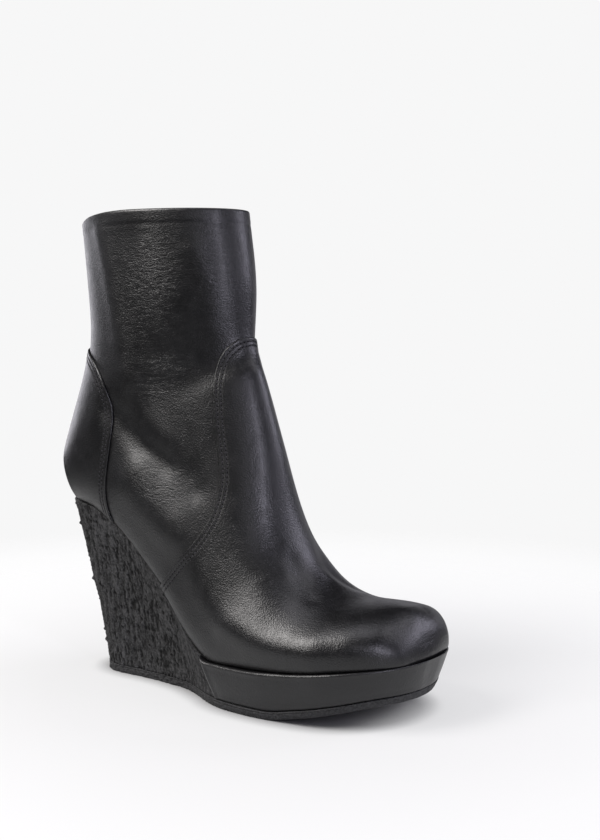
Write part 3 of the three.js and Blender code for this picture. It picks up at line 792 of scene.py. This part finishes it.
# %% seam_thread
sewn = [stitches_along(path, False) for path in vamp_rows]
sewn += [stitches_along(path, True) for path in counter_rows]
centre, run, out = [np.concatenate(part) for part in zip(*sewn)]
slanted = unit(run + SLANT * np.cross(out, run))
half = STITCH_LENGTH / 2
thread_rings = [(-half, 0.3, 0.3), (-0.85 * half, 0.8, 0.16), (-0.4 * half, 1, 0),
                (0.4 * half, 1, 0), (0.85 * half, 0.8, 0.16), (half, 0.3, 0.3)]
thread, thread_faces = capsules(centre, slanted, out, thread_rings, THREAD)
# painted shade: a nearly black body sunk between two stitches stands for the dark inside each
# needle hole
hole_at = centre + run * STITCH_PITCH / 2 - out * HOLE_SINK
hole_rings = [(-HOLE, 0.2, 0), (-0.6 * HOLE, 0.8, 0), (0.6 * HOLE, 0.8, 0), (HOLE, 0.2, 0)]
holes, hole_faces = capsules(hole_at, run, out, hole_rings, 0.5)
seam_thread = make_piece("seam_thread", np.concatenate([thread, holes]),
                         thread_faces + moved_on(hole_faces, len(thread)),
                         finishes=[0] * len(thread_faces) + [1] * len(hole_faces))
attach(seam_thread, "root")
print(len(centre), "stitches")
say(seam_thread)

# %% [markdown]
# ## The wedge, the platform and the outsole
# Each part of the sole follows two outlines, one on the floor and one under the foot. A loop is
# drawn round the sole at every height between them, with its points spread evenly, so that a
# rough surface can be cut into it at the same fineness everywhere. The torn crepe of the wedge
# is real relief, because its edge is seen against the light behind the heel: streaks that run
# up the wedge, pits, and a few torn nibs.

# %% Loops round the sole
# the wedge ends and the platform begins at one share of the length
WELT, WEDGE_SHARE, END_SHARE = 1.2, 0.506, 0.001


def sole_edge(share, up, out):
    """One side of the sole: place, centre line, half width and height, at shares of its size."""
    foot_x = FOOT_BACK + (FOOT_TIP - FOOT_BACK) * share
    top_x = SOLE_BACK + (SOLE_TIP - SOLE_BACK) * share
    low_half, low_middle, _ = footprint(foot_x)
    _, high_middle, high_edge = sole_top_plan(top_x)
    high_half = high_edge + WELT * smooth(0.4, WEDGE_SHARE, share)
    x = foot_x + (top_x - foot_x) * up
    half = low_half + (high_half - low_half) * up + out
    middle = low_middle + (high_middle - low_middle) * up
    low = floor_line(foot_x) + OUTSOLE_THICKNESS + SOLE_GAP
    high = seat(top_x) - SOLE_GAP
    return x, middle, np.maximum(half, 0), low + (high - low) * up


def loop_round(x, middle, half, z, count, last=None):
    """A loop of evenly spread points: along one side, round the end, and back."""
    sides = [np.stack([x, middle + sign * half, z], -1) for sign in (-1, 1)]
    return evened(np.concatenate([sides[0], sides[1][::-1][1:last]]), count)


def sole_loop(from_share, to_share, up, out, count):
    """A loop round the wedge or the platform, with more points read at its rounded end."""
    slow = np.sin(np.linspace(0, 1, 500) * np.pi / 2)
    if to_share > 0.9:
        share = from_share + (to_share - from_share) * slow
    else:
        share = to_share + (from_share - to_share) * slow
    return loop_round(*sole_edge(share, up, out), count)


def close_loops(rows, count):
    """Faces that close a stack of open loops: lid, bottom, and the flat end between the sides."""
    half, faces = count // 2, []
    for base, flip in ((0, True), ((rows - 1) * count, False)):
        for k in range(half):
            quad = (base + k, base + k + 1, base + count - 2 - k, base + count - 1 - k)
            quad = tuple(dict.fromkeys(quad))
            if len(quad) > 2:
                faces.append(quad[::-1] if flip else quad)
    for row in range(rows - 1):
        a, b = row * count, (row + 1) * count
        faces.append((a, b, b + count - 1, a + count - 1))
    return faces


# %% Noise for relief
def lattice(cells, seed):
    """A repeatable number between 0 and 1 for each lattice corner."""
    mixed = (cells[..., 0] * 374761393 + cells[..., 1] * 668265263 + cells[..., 2] * 2147483647
             + seed * 1274126177) & 0xFFFFFFFF
    mixed = ((mixed ^ (mixed >> 13)) * 1274126177) & 0xFFFFFFFF
    return ((mixed ^ (mixed >> 16)) & 0xFFFFFF) / 0xFFFFFF


def cloud(points, seed):
    """Smooth noise between 0 and 1."""
    base = np.floor(points).astype(np.int64)
    part = points - base
    part = part * part * (3 - 2 * part)
    total = 0
    for corner in range(8):
        bits = np.array([corner & 1, corner >> 1 & 1, corner >> 2 & 1])
        weight = np.prod(np.where(bits, part, 1 - part), -1)
        total = total + weight * lattice(base + bits, seed)
    return total


# %% wedge_crepe
WEDGE_COUNT, WEDGE_ROWS, NIBS, NIB_WIDTH = 431, 140, 420, 0.6
WEDGE_CURVE = np.array([(0, 0), (0.12, -1.1), (0.4, -1.8), (0.7, -1.4), (1, 0)])


# each row: streak widths along the wedge and up it in millimetres, and a seed
LONG_TEAR, SHORT_TEAR, PIT = (1.6, 12.0, 3), (0.8, 2.6, 5), (1.0, 2.3, 11)
CRUMB, SWELL = (0.8, 0.9, 17), (14.0, 18.0, 23)
# places along the boot: the wedge calms down towards its front, and sinks at the joint
CALM_FROM, JOINT, JOINT_SINK = (92, 120), (120, 131), 0.5


def tear_noise(along, up, layer):
    wide, high, seed = layer
    return cloud(np.stack([along / wide, up / high, 0 * up], -1), seed)


def torn(along, up):
    """Relief of torn crepe in millimetres, its pits and its crests. Streaks run up the wedge."""
    streak = 0.5 * tear_noise(along + 0.25 * up, up, LONG_TEAR)
    streak = streak + 0.5 * tear_noise(along, up, SHORT_TEAR)
    pit, fine, coarse = [tear_noise(along, up, layer) for layer in (PIT, CRUMB, SWELL)]
    pits = smooth(0.66, 0.84, pit + 0.2 * (coarse - 0.5) + 0.06 * smooth(60, 5, up))
    relief = 0.8 * (streak - 0.5) + 0.6 * (fine - 0.5) - 0.7 * pits + 0.5 * (coarse - 0.5)
    return relief, pits, streak


def nibs(along, up):
    """Small torn points that stand out of the crepe."""
    pick = np.random.default_rng(7)
    total = np.zeros(up.shape)
    for _ in range(NIBS):
        a, u = pick.uniform(0, along.max()), pick.uniform(2, 92)
        high = pick.uniform(0.5, 1.5)
        off = ((along - a) / NIB_WIDTH) ** 2 + ((up - u) / 0.9) ** 2
        total = np.maximum(total, high * np.exp(-off))
    return total


levels = np.linspace(0, 1, WEDGE_ROWS)
bow = curve(WEDGE_CURVE[:, 1:], WEDGE_CURVE[:, 0], levels)[..., 0]
wedge = np.array([sole_loop(END_SHARE, WEDGE_SHARE, up, out, WEDGE_COUNT)
                  for up, out in zip(levels, bow)])
wedge_out = outward(wedge)
wedge_out *= -np.sign(wedge_out[60, 20, 1])
along = np.cumsum(np.linalg.norm(np.diff(wedge[70], axis=0, prepend=wedge[70][:1]), axis=-1))
along = np.broadcast_to(along, wedge.shape[:2])
rough, pits, crests = torn(along, wedge[..., 2])
calm = 1 - 0.7 * smooth(*CALM_FROM, wedge[..., 0])
away_from_top = smooth(1.0, 0.955, levels)[:, None]
relief = (rough - 0.2) * calm + nibs(along, wedge[..., 2]) * calm * away_from_top
relief -= JOINT_SINK * smooth(*JOINT, wedge[..., 0])
wedge = wedge + wedge_out * relief[..., None]
faces = grid_faces(WEDGE_ROWS, WEDGE_COUNT) + close_loops(WEDGE_ROWS, WEDGE_COUNT)
# the pit and crest marks carry painted shade and a painted highlight into the crepe's colour
wedge_crepe = make_piece("wedge_crepe", wedge, faces,
                         {"pit": pits * calm, "crest": crests})
weld(wedge_crepe)
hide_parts("wedge")
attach(wedge_crepe, "root")
say(wedge_crepe)

# %% [markdown]
# ### The platform's cover
# The platform is a block wrapped in leather, so its edge rolls over at the top and is drawn in
# under the vamp, and the cover is folded where it meets the wedge. A bevelled block would look
# like plastic. Instead a profile of small steps goes round the toe, and the last millimetres
# beside the joint are raised as the fold.

# %% platform_cover
PLATFORM_COUNT = 361
COVER = [  # share of the height, then how far outward
    (0, -0.5), (0.03, -0.1), (0.07, 0.1), (0.12, 0.12), (0.16, 0.0), (0.2, 0.2), (0.35, 0.4),
    (0.5, 0.5), (0.65, 0.48), (0.78, 0.4), (0.85, 0.3), (0.88, 0.36), (0.915, 0.5), (0.945, 0.42),
    (0.97, 0.16), (0.99, -0.3), (1, -0.9), (1, -2.5), (0.985, -5), (0.97, -9)]
split = SOLE_GAP / (SOLE_TIP - SOLE_BACK)
cover = np.array([sole_loop(WEDGE_SHARE + split, 1 - END_SHARE, up, out, PLATFORM_COUNT)
                  for up, out in COVER])
from_end = np.minimum(np.arange(PLATFORM_COUNT), np.arange(PLATFORM_COUNT)[::-1])
from_end = from_end * np.linalg.norm(cover[6, 1] - cover[6, 0])
fold = 0.5 * np.exp(-((from_end - 2.6) / 1.7) ** 2) - 0.9 * np.exp(-(from_end / 0.8) ** 2)
fold = fold * (np.array([out for _, out in COVER]) > -1)[:, None]
cover[..., 1] += fold * np.sign(cover[..., 1] - cover[..., 1].mean())
faces = grid_faces(len(COVER), PLATFORM_COUNT) + close_loops(len(COVER), PLATFORM_COUNT)
platform_cover = make_piece("platform_cover", cover, faces)
weld(platform_cover)
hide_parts("platform")
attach(platform_cover, "root")
say(platform_cover)

# %% [markdown]
# ### The outsole
# The outsole is a thin sheet of crumb rubber, glued on and ground to the outline, so its side is
# slightly uneven and has a groove near the top. It turns up under the toe and is bevelled there.
# Its outline is repeated over a short profile. Grit is cut into the side alone, so that the
# underside stays flat on the floor.

# %% outsole_rubber
OUTSOLE_COUNT, BEVEL, PROUD = 602, 1.5, 0.5
GRIT_WIDE, GRIT_HIGH, GRIT_RELIEF, GRIT_SEED = 1.1, 1.2, 1.2, 31


def outsole_loop(height, out):
    """The outsole's whole outline at a height over its underside."""
    t = (1 - np.cos(np.linspace(0, np.pi, 700))) / 2
    share = END_SHARE + (1 - 2 * END_SHARE) * t
    x = FOOT_BACK + (FOOT_TIP - FOOT_BACK) * share
    half, middle, _ = footprint(x)
    rise = height / OUTSOLE_THICKNESS
    bevel = BEVEL * floor_line(x) / TOE_SPRING * (1 - rise)
    proud = PROUD * smooth(0.4, WEDGE_SHARE, share) * height / OUTSOLE_THICKNESS
    half = np.maximum(half + proud - bevel + out, 0.0)
    z = floor_line(x) + height
    return loop_round(x - bevel, middle, half, z, OUTSOLE_COUNT + 1, last=-1)[:-1]


# height over the underside, then how far outward: a groove lies near the top
PROFILE = [(0.0, -6), (0.0, -1.6), (0.0, -0.6), (0.15, -0.2), (0.5, 0.0), (0.9, 0.0), (1.3, 0.0),
           (1.7, 0.0), (2.1, 0.0), (2.5, 0.0), (2.8, -0.12), (3.0, -0.3), (3.2, -0.12), (3.5, 0.0),
           (3.8, -0.1), (4.0, -0.5), (4.0, -2.0)]
sole = np.array([outsole_loop(height, out) for height, out in PROFILE])
side_band = np.array([smooth(-1.0, -0.2, out) for _, out in PROFILE])[:, None]
sole_out = outward(sole) * np.array([1, 1, 0])
from_middle = (sole - sole.mean(1, keepdims=True)) * sole_out
sole_out *= np.sign(from_middle[..., :2].sum(-1, keepdims=True))
way = np.arange(OUTSOLE_COUNT) * np.linalg.norm(sole[4, 1] - sole[4, 0])
grit_at = np.broadcast_arrays(way / GRIT_WIDE, sole[..., 2] / GRIT_HIGH, 0 * way)
grit_relief = cloud(np.stack(grit_at, -1), GRIT_SEED) - 0.5
torn_share = 1 - 0.75 * smooth(88, 125, sole[..., 0])
sole = sole + sole_out * (GRIT_RELIEF * grit_relief * torn_share * side_band)[..., None]
under_lid = tuple(range(OUTSOLE_COUNT))
faces = grid_faces(len(PROFILE), OUTSOLE_COUNT, True)
faces += [under_lid[::-1]] + moved_on([under_lid], (len(PROFILE) - 1) * OUTSOLE_COUNT)
outsole_rubber = make_piece("outsole_rubber", sole, faces)
weld(outsole_rubber)
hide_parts("outsole")
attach(outsole_rubber, "root")
say(outsole_rubber)

# %% [markdown]
# ### The sock
# A thin sock of lining leather covers the insole and shows only from above. It could be cut to
# a table of its own, but then it would gape or poke through when the leather is creased. So its
# width is read from the skin at foot level, slice by slice, and its edge is turned up a little.

# %% insole_sock
SOCK_ROWS, SOCK_COLUMNS, SOCK_THICK, SOCK_RISE = 60, 25, 2.2, 2.4
SLICE, SOCK_CLEAR = 1.6, 1.2
foot_level = skin.reshape(-1, 3)
foot_level = foot_level[abs(foot_level[:, 2] - seat(foot_level[:, 0]) - 2.5) < 2.0]
sock_x = np.linspace(foot_level[:, 0].min() + SLICE, foot_level[:, 0].max() - SLICE, SOCK_ROWS)
sides = []
for x in sock_x:
    near = foot_level[abs(foot_level[:, 0] - x) < SLICE]
    sides.append((near[:, 1].min() + SOCK_CLEAR, near[:, 1].max() - SOCK_CLEAR))
sides = soften(np.array(sides), 1.2, 0, False)
t = np.linspace(-1, 1, SOCK_COLUMNS)
top = np.stack([np.broadcast_to(sock_x[:, None], (SOCK_ROWS, SOCK_COLUMNS)),
                sides.mean(1)[:, None] + t * (sides[:, 1] - sides[:, 0])[:, None] / 2,
                seat(sock_x)[:, None] + SOCK_RISE + 0.5 * t ** 4], -1)
bottom = top - np.array([0, 0, SOCK_THICK])
count, last = SOCK_ROWS * SOCK_COLUMNS, SOCK_COLUMNS - 1
faces = grid_faces(SOCK_ROWS, SOCK_COLUMNS)
faces += moved_on([f[::-1] for f in faces], count)
rim_walk = (list(range(SOCK_COLUMNS)) + [SOCK_COLUMNS * r + last for r in range(1, SOCK_ROWS)]
            + [count - 1 - k for k in range(1, SOCK_COLUMNS)]
            + [SOCK_COLUMNS * r for r in range(SOCK_ROWS - 2, 0, -1)])
faces += [(a, b, b + count, a + count) for a, b in zip(rim_walk, rim_walk[1:] + rim_walk[:1])]
insole_sock = make_piece("insole_sock", np.concatenate([top, bottom]), faces)
weld(insole_sock)
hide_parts("insole")
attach(insole_sock, "root")
say(insole_sock)
# %% [markdown]
# ## Finishes
# Eight finishes cover the boot: three of black calf, the lining, the waxed thread, the painted
# shade of the needle holes, the torn crepe with its painted shade and highlight, and the crumb
# rubber. All are made from nodes that read the place on the object, so they stay put from any
# side. A small builder keeps each of them short: it adds a node, joins its inputs and gives back
# its output.

# %% A small node builder
class Finish:
    """A material whose nodes are added one by one."""

    def __init__(self, name, **plain):
        self.material = bpy.data.materials.new(name)
        self.material.use_nodes = True
        self.tree = self.material.node_tree
        self.shader = self.tree.nodes["Principled BSDF"]
        for socket, value in plain.items():
            self.shader.inputs[socket.replace("_", " ")].default_value = value
        self.place = self.node("ShaderNodeTexCoord").outputs["Object"]

    def node(self, kind, links=(), values=(), **settings):
        made = self.tree.nodes.new(kind)
        for key, value in settings.items():
            setattr(made, key, value)
        for key, value in dict(values).items():
            made.inputs[key].default_value = value
        for key, source in dict(links).items():
            self.tree.links.new(source, made.inputs[key])
        return made

    def drive(self, socket, source):
        self.tree.links.new(source, self.shader.inputs[socket])

    def noise(self, scale, detail=2.0, rough=0.5, place=None, distort=0.0):
        values = {"Scale": scale, "Detail": detail, "Roughness": rough, "Distortion": distort}
        return self.node("ShaderNodeTexNoise", {"Vector": place or self.place},
                         values).outputs["Fac"]

    def cells(self, scale):
        return self.node("ShaderNodeTexVoronoi", {"Vector": self.place},
                         {"Scale": scale}).outputs["Distance"]

    def ramp(self, source, low, high, to_low=0.0, to_high=1.0):
        values = {"From Min": low, "From Max": high, "To Min": to_low, "To Max": to_high}
        return self.node("ShaderNodeMapRange", {"Value": source}, values).outputs["Result"]

    def math(self, operation, a, b):
        plain = {k: v for k, v in enumerate((a, b)) if isinstance(v, (int, float))}
        links = {k: v for k, v in enumerate((a, b)) if k not in plain}
        return self.node("ShaderNodeMath", links, plain, operation=operation).outputs[0]

    def stretch(self, turn, scale):
        return self.node("ShaderNodeMapping", {"Vector": self.place},
                         {"Rotation": turn, "Scale": scale}).outputs["Vector"]

    def mark(self, name):
        return self.node("ShaderNodeAttribute", attribute_name=name).outputs["Fac"]

    def tone(self, factor, dark, light):
        mix = self.node("ShaderNodeMix", {"Factor": factor}, data_type="RGBA")
        mix.inputs["A"].default_value = (*dark, 1)
        mix.inputs["B"].default_value = (*light, 1)
        self.drive("Base Color", mix.outputs["Result"])

    def dull(self, scale, detail, low, high):
        """Roughness that drifts between two values."""
        self.drive("Roughness", self.ramp(self.noise(scale, detail), 0.3, 0.7, low, high))

    def bump(self, layers):
        """layers: height source, height in metres, strength."""
        below = None
        for source, height, strength in layers:
            links = {"Height": source, "Normal": below} if below else {"Height": source}
            below = self.node("ShaderNodeBump", links,
                              {"Distance": height, "Strength": strength}).outputs["Normal"]
        self.drive("Normal", below)


def dress(piece, *finishes):
    for finish in finishes:
        piece.data.materials.append(finish.material)


# %% [markdown]
# ### Black calf leather
# The leather is a deep, slightly cool black with a fine natural grain. Grain is far too small
# to model, so it is bump: tiny cells for the pebbles and a finer noise between them. Gloss is
# never even on such leather, so its roughness drifts, and it is duller along the stitches.
# Short arched crinkles lie across the shaft; they are stretched noise turned to their own
# slope, and the crinkle marks on the mesh say where they are strong.

# %% Leather finishes
CRINKLE_TURN, CRINKLE_SCALE = (0, math.radians(14), 0), (190, 190, 560)
SOFT_BUMP, GRAIN_BUMP = (0.0004, 0.12), (0.00028, 0.55)
FINE_BUMP, CRINKLE_BUMP = (0.00013, 0.5), (0.0004, 0.6)
SEWN_DULL = 0.3


def leather(name, dark, light, gloss, crinkled, sewn=False):
    """Calf round a given roughness, with crinkles and dull sewn lines where they are marked."""
    finish = Finish(name, Coat_Weight=0.1, Coat_Roughness=0.25, Specular_IOR_Level=0.45)
    finish.tone(finish.ramp(finish.noise(55, 3), 0.35, 0.7), dark, light)
    fine, patchy = finish.noise(1500, 3, 0.6), finish.noise(160, 4, 0.6)
    dull = finish.ramp(finish.math("ADD", patchy, fine), 0.6, 1.4, gloss - 0.06, gloss + 0.08)
    if sewn:
        seam = finish.ramp(finish.mark("sewn"), 0.1, 1.0, 0.0, SEWN_DULL)
        dull = finish.math("ADD", dull, seam)
    finish.drive("Roughness", dull)
    grain = finish.math("MULTIPLY", finish.cells(1250), finish.ramp(patchy, 0.3, 0.7, 0.35, 1.0))
    layers = [(finish.noise(240, 2), *SOFT_BUMP), (grain, *GRAIN_BUMP), (fine, *FINE_BUMP)]
    if crinkled:
        wave = finish.noise(1.0, 3.0, 0.55, finish.stretch(CRINKLE_TURN, CRINKLE_SCALE), 1.1)
        crest = finish.math("ABSOLUTE", finish.math("SUBTRACT", wave, 0.5), 0.0)
        crest = finish.ramp(crest, 0.0, 0.16, 1.0, 0.0)
        layers.append((finish.math("MULTIPLY", crest, finish.mark("crinkle")), *CRINKLE_BUMP))
    finish.bump(layers)
    return finish


BLACK, BLACK_LIGHT = (0.003, 0.003, 0.0034), (0.0055, 0.0055, 0.0062)
COVER_BLACK, COVER_LIGHT = (0.003, 0.003, 0.0035), (0.0055, 0.0055, 0.0063)
shaft_calf = leather("black_calf", BLACK, BLACK_LIGHT, 0.39, True)
panel_calf = leather("black_calf_panel", BLACK, BLACK_LIGHT, 0.36, True, True)
cover_calf = leather("black_calf_cover", COVER_BLACK, COVER_LIGHT, 0.38, False)

# %% [markdown]
# ### Lining, thread and needle holes
# The lining is dark and matt, with open pores. The thread is waxed and twisted: a little paler
# than the calf, with fine slanted bands for its plies. A needle hole is seen only as a dark
# dot, so the body sunk in it has a nearly black, dull finish: painted shade for the hole.

# %% Lining, thread and needle holes
lining = Finish("lining_leather", Specular_IOR_Level=0.35)
lining.tone(lining.noise(40, 4), (0.020, 0.019, 0.018), (0.035, 0.033, 0.031))
lining.dull(300, 3, 0.6, 0.8)
lining.bump([(lining.cells(1400), 0.0002, 0.4), (lining.noise(260, 3), 0.0004, 0.3)])

wax = Finish("waxed_thread", Specular_IOR_Level=0.3)
wax.tone(wax.noise(500, 2), (0.013, 0.012, 0.016), (0.03, 0.028, 0.034))
wax.dull(900, 2, 0.55, 0.7)
twist = wax.node("ShaderNodeTexWave", {"Vector": wax.place},
                 {"Scale": 900.0, "Distortion": 1.0}, bands_direction="DIAGONAL").outputs["Fac"]
wax.bump([(twist, 0.00008, 0.6)])

# painted shade: the finish of the dark bodies that stand in for the needle holes
hole_shade = Finish("needle_hole_painted_shade", Specular_IOR_Level=0.1)
hole_shade.tone(hole_shade.noise(700, 2), (0.0015, 0.0015, 0.0015), (0.004, 0.004, 0.004))
hole_shade.dull(900, 2, 0.75, 0.9)
hole_shade.bump([(hole_shade.noise(1500, 2), 0.0001, 0.5)])

# %% [markdown]
# ### Crepe and rubber
# The wedge is torn crepe, matt. Its colour is painted darker in its pits, as painted shade, and
# paler on the crests that stand out, as a painted highlight. The relief of the mesh carries its
# form, and its marks carry this painted shade and highlight. Finer crumbs are bump and random
# tone.

# %% Crepe and rubber finishes
crepe = Finish("torn_crepe", Specular_IOR_Level=0.3)
crumbs = crepe.noise(900, 5, 0.65)
# random tone of the crumbs, with painted highlight on the crests and painted shade in the pits
crumbs_and_painted_relief = crepe.math("ADD", crepe.ramp(crumbs, 0.36, 0.68),
                       crepe.ramp(crepe.mark("crest"), 0.3, 0.75, -0.2, 0.6))
crumbs_and_painted_relief = crepe.math("SUBTRACT", crumbs_and_painted_relief, crepe.mark("pit"))
crepe.tone(crepe.ramp(crumbs_and_painted_relief, 0.0, 1.3), (0.004, 0.004, 0.0042), (0.055, 0.055, 0.057))
crepe.dull(500, 3, 0.72, 0.9)
tears = crepe.noise(1.0, 3, 0.6, crepe.stretch((0, math.radians(20), 0), (900, 900, 240)))
crepe.bump([(tears, 0.0008, 0.7), (crumbs, 0.0005, 0.7)])

rubber = Finish("crumb_rubber", Specular_IOR_Level=0.35)
grit = rubber.noise(1100, 4, 0.65)
rubber.tone(rubber.ramp(grit, 0.4, 0.65), (0.010, 0.010, 0.0105), (0.038, 0.038, 0.040))
rubber.dull(400, 3, 0.62, 0.82)
rubber.bump([(grit, 0.0004, 0.6), (rubber.noise(300, 3), 0.0004, 0.4)])

dress(upper_leather, shaft_calf, lining)
dress(vamp_leather, panel_calf)
dress(counter_leather, panel_calf)
dress(seam_thread, wax, hole_shade)
dress(wedge_crepe, crepe)
dress(platform_cover, cover_calf)
dress(outsole_rubber, rubber)
dress(insole_sock, lining)
print("finishes:", ", ".join(sorted(m.name for m in bpy.data.materials if m.users)))

# %% [markdown]
# ## Floor, light and camera
# The boot stands on a pale studio floor with no edge in sight: the floor fades out into the
# bright surroundings. It is a mid grey with a painted glow, which makes it read white, keeps the
# lamps' shadows on it faint, and grows away from the boot. The glow is cut where the boot stands
# close over the floor, so that only a narrow, dark painted contact shadow is left.

# %% Floor
FLOOR_RADIUS, FLOOR_FADE, CONTACT = 3.0, (0.22, 0.5), 0.014
# strengths of the floor's painted glow: round the boot, outside the painted contact shadow, and
# its rise far away
NEAR_GLOW, FAR_GLOW = 0.6, 0.2

floor_mesh = bpy.data.meshes.new("studio_floor")
disc = bmesh.new()
bmesh.ops.create_circle(disc, cap_ends=True, cap_tris=True, segments=96, radius=FLOOR_RADIUS)
disc.to_mesh(floor_mesh)
disc.free()
studio_floor = bpy.data.objects.new("studio_floor", floor_mesh)
bpy.context.collection.objects.link(studio_floor)
pale = Finish("pale_floor", Roughness=0.75, Specular_IOR_Level=0.2)
pale.shader.inputs["Emission Color"].default_value = (1, 1, 1, 1)
pale.tone(pale.noise(6, 3), (0.20, 0.20, 0.201), (0.215, 0.215, 0.216))
pale.bump([(pale.noise(120, 3), 0.0002, 0.1)])
span = pale.node("ShaderNodeVectorMath", {0: pale.place}, operation="LENGTH").outputs["Value"]
# painted light: the floor glows, the glow is cut where the boot is close above it as a painted
# contact shadow, and it is stronger far from the boot
open_air = pale.node("ShaderNodeAmbientOcclusion", values={"Distance": CONTACT}).outputs["AO"]
painted_floor_glow = pale.math("ADD", pale.ramp(open_air, 0.3, 0.9, 0.0, NEAR_GLOW),
                 pale.ramp(span, 0.1, 0.4, 0.0, FAR_GLOW))
pale.drive("Emission Strength", painted_floor_glow)
clear = pale.node("ShaderNodeBsdfTransparent").outputs["BSDF"]
blend = pale.node("ShaderNodeMixShader", {0: pale.ramp(span, *FLOOR_FADE),
                                          1: pale.shader.outputs["BSDF"], 2: clear})
surface = next(n for n in pale.tree.nodes if n.type == "OUTPUT_MATERIAL")
pale.tree.links.new(blend.outputs["Shader"], surface.inputs["Surface"])
dress(studio_floor, pale)
studio_floor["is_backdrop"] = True

# %% [markdown]
# ### Lamps
# Black leather is drawn by what it reflects, so the lamps are large and soft, and the air
# between them is black: it is white only where the camera looks past the boot. A strong warm
# pair high on the left lights the vamp, the toe and the ankle bone. A tall, narrow, cool strip
# on the right draws the streak down the shin. Weak lamps at the sides and behind give the
# shaft its edges, and one overhead lifts the toe cap and the instep.

# %% Surroundings
world = bpy.data.worlds.new("studio_air")
bpy.context.scene.world = world
world.use_nodes = True
air, links = world.node_tree.nodes, world.node_tree.links
air["Background"].inputs["Strength"].default_value = 0.0
white, seen = air.new("ShaderNodeBackground"), air.new("ShaderNodeLightPath")
white.inputs["Color"].default_value = (0.93, 0.93, 0.932, 1)
pick = air.new("ShaderNodeMixShader")
links.new(seen.outputs["Is Camera Ray"], pick.inputs[0])
links.new(air["Background"].outputs[0], pick.inputs[1])
links.new(white.outputs[0], pick.inputs[2])
links.new(pick.outputs[0], air["World Output"].inputs["Surface"])

# %% Lamps
VIEW_YAW = math.radians(35.439)
TO_RIGHT = Vector((math.cos(VIEW_YAW), math.sin(VIEW_YAW), 0))
TO_BACK = Vector((-math.sin(VIEW_YAW), math.cos(VIEW_YAW), 0))
LAMP_AIM, LAMP_AWAY = Vector((0, 0, 0.12)), 1.15
WARM, PLAIN, COOL = (1.03, 1.0, 0.98), (1.0, 0.985, 1.06), (1.01, 0.985, 1.17)
# name, turn and rise in degrees, width and height in metres, power in watts, colour
LAMPS = [
    ("key_left", -80, 50, 0.5, 0.5, 12.5, WARM), ("key_left_low", -62, 32, 0.4, 0.3, 4.4, WARM),
    ("back_left", -140, 8, 0.6, 0.5, 1.6, PLAIN), ("side_left", -95, 10, 0.4, 0.5, 0.4, PLAIN),
    ("front", 0, 24, 0.4, 0.3, 0.8, PLAIN), ("strip_right", 31, 13, 0.15, 0.46, 4.4, COOL),
    ("side_right", 75, 12, 0.4, 0.5, 1.1, COOL), ("back_right", 105, 20, 0.5, 0.4, 3.0, COOL),
    ("high_right", 90, 50, 0.5, 0.5, 1.9, PLAIN), ("overhead", 0, 88, 0.8, 0.8, 3.9, PLAIN),
    ("backdrop", 180, 5, 2.4, 0.45, 1.9, PLAIN)]


def soft_lamp(name, turn, rise, wide, high, power, colour):
    """A soft lamp aimed at the boot. Its turn is 0 at the camera and grows to the right."""
    lamp = bpy.data.lights.new(name, "AREA")
    lamp.shape, lamp.size, lamp.size_y = "RECTANGLE", wide, high
    lamp.energy, lamp.color = power, colour
    holder = bpy.data.objects.new(name, lamp)
    turn, rise = math.radians(turn), math.radians(rise)
    level = TO_RIGHT * math.sin(turn) - TO_BACK * math.cos(turn)
    direction = level * math.cos(rise) + Vector((0, 0, math.sin(rise)))
    holder.location = LAMP_AIM + direction * LAMP_AWAY
    holder.rotation_euler = direction.to_track_quat("Z", "Y").to_euler()
    bpy.context.collection.objects.link(holder)


for lamp in LAMPS:
    soft_lamp(*lamp)
print(len(LAMPS), "lamps,", round(sum(power for *_, power, _ in LAMPS), 1), "watts in all")

# %% [markdown]
# ### Camera
# The photograph's angle was found by fitting a camera to the boot's outline: it stands at the
# height of the shaft, looks down a little, and sees the outer side with the toe turned near.

# %% Camera
CAMERA_AT, LOOK_DOWN, LENS = (0.41504, -0.52609, 0.19512), 4.658, 54.82
eye = bpy.data.cameras.new("studio_camera")
eye.sensor_width, eye.sensor_fit, eye.lens = 36.0, "AUTO", LENS
eye.clip_start, eye.clip_end = 0.02, 50
studio_camera = bpy.data.objects.new("studio_camera", eye)
studio_camera.location = CAMERA_AT
studio_camera.rotation_euler = (math.radians(90 - LOOK_DOWN), 0, VIEW_YAW)
bpy.context.collection.objects.link(studio_camera)
bpy.context.scene.camera = studio_camera
bpy.context.scene.view_settings.view_transform = "Standard"

# %% [markdown]
# ## Last look at the sizes
# The boxes of the solids and of the dressed boot are printed, so that they can be compared
# after each change. The dressed boot has to fill the same box as its solids.

# %% Sizes
dressed_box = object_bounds()
boxes = {"solids": [[float(v) for v in corner] for corner in solid_box],
         "dressed": [[float(v) for v in corner] for corner in dressed_box]}
for name, corners in boxes.items():
    print(name, [[round(1000 * v, 1) for v in corner] for corner in corners])
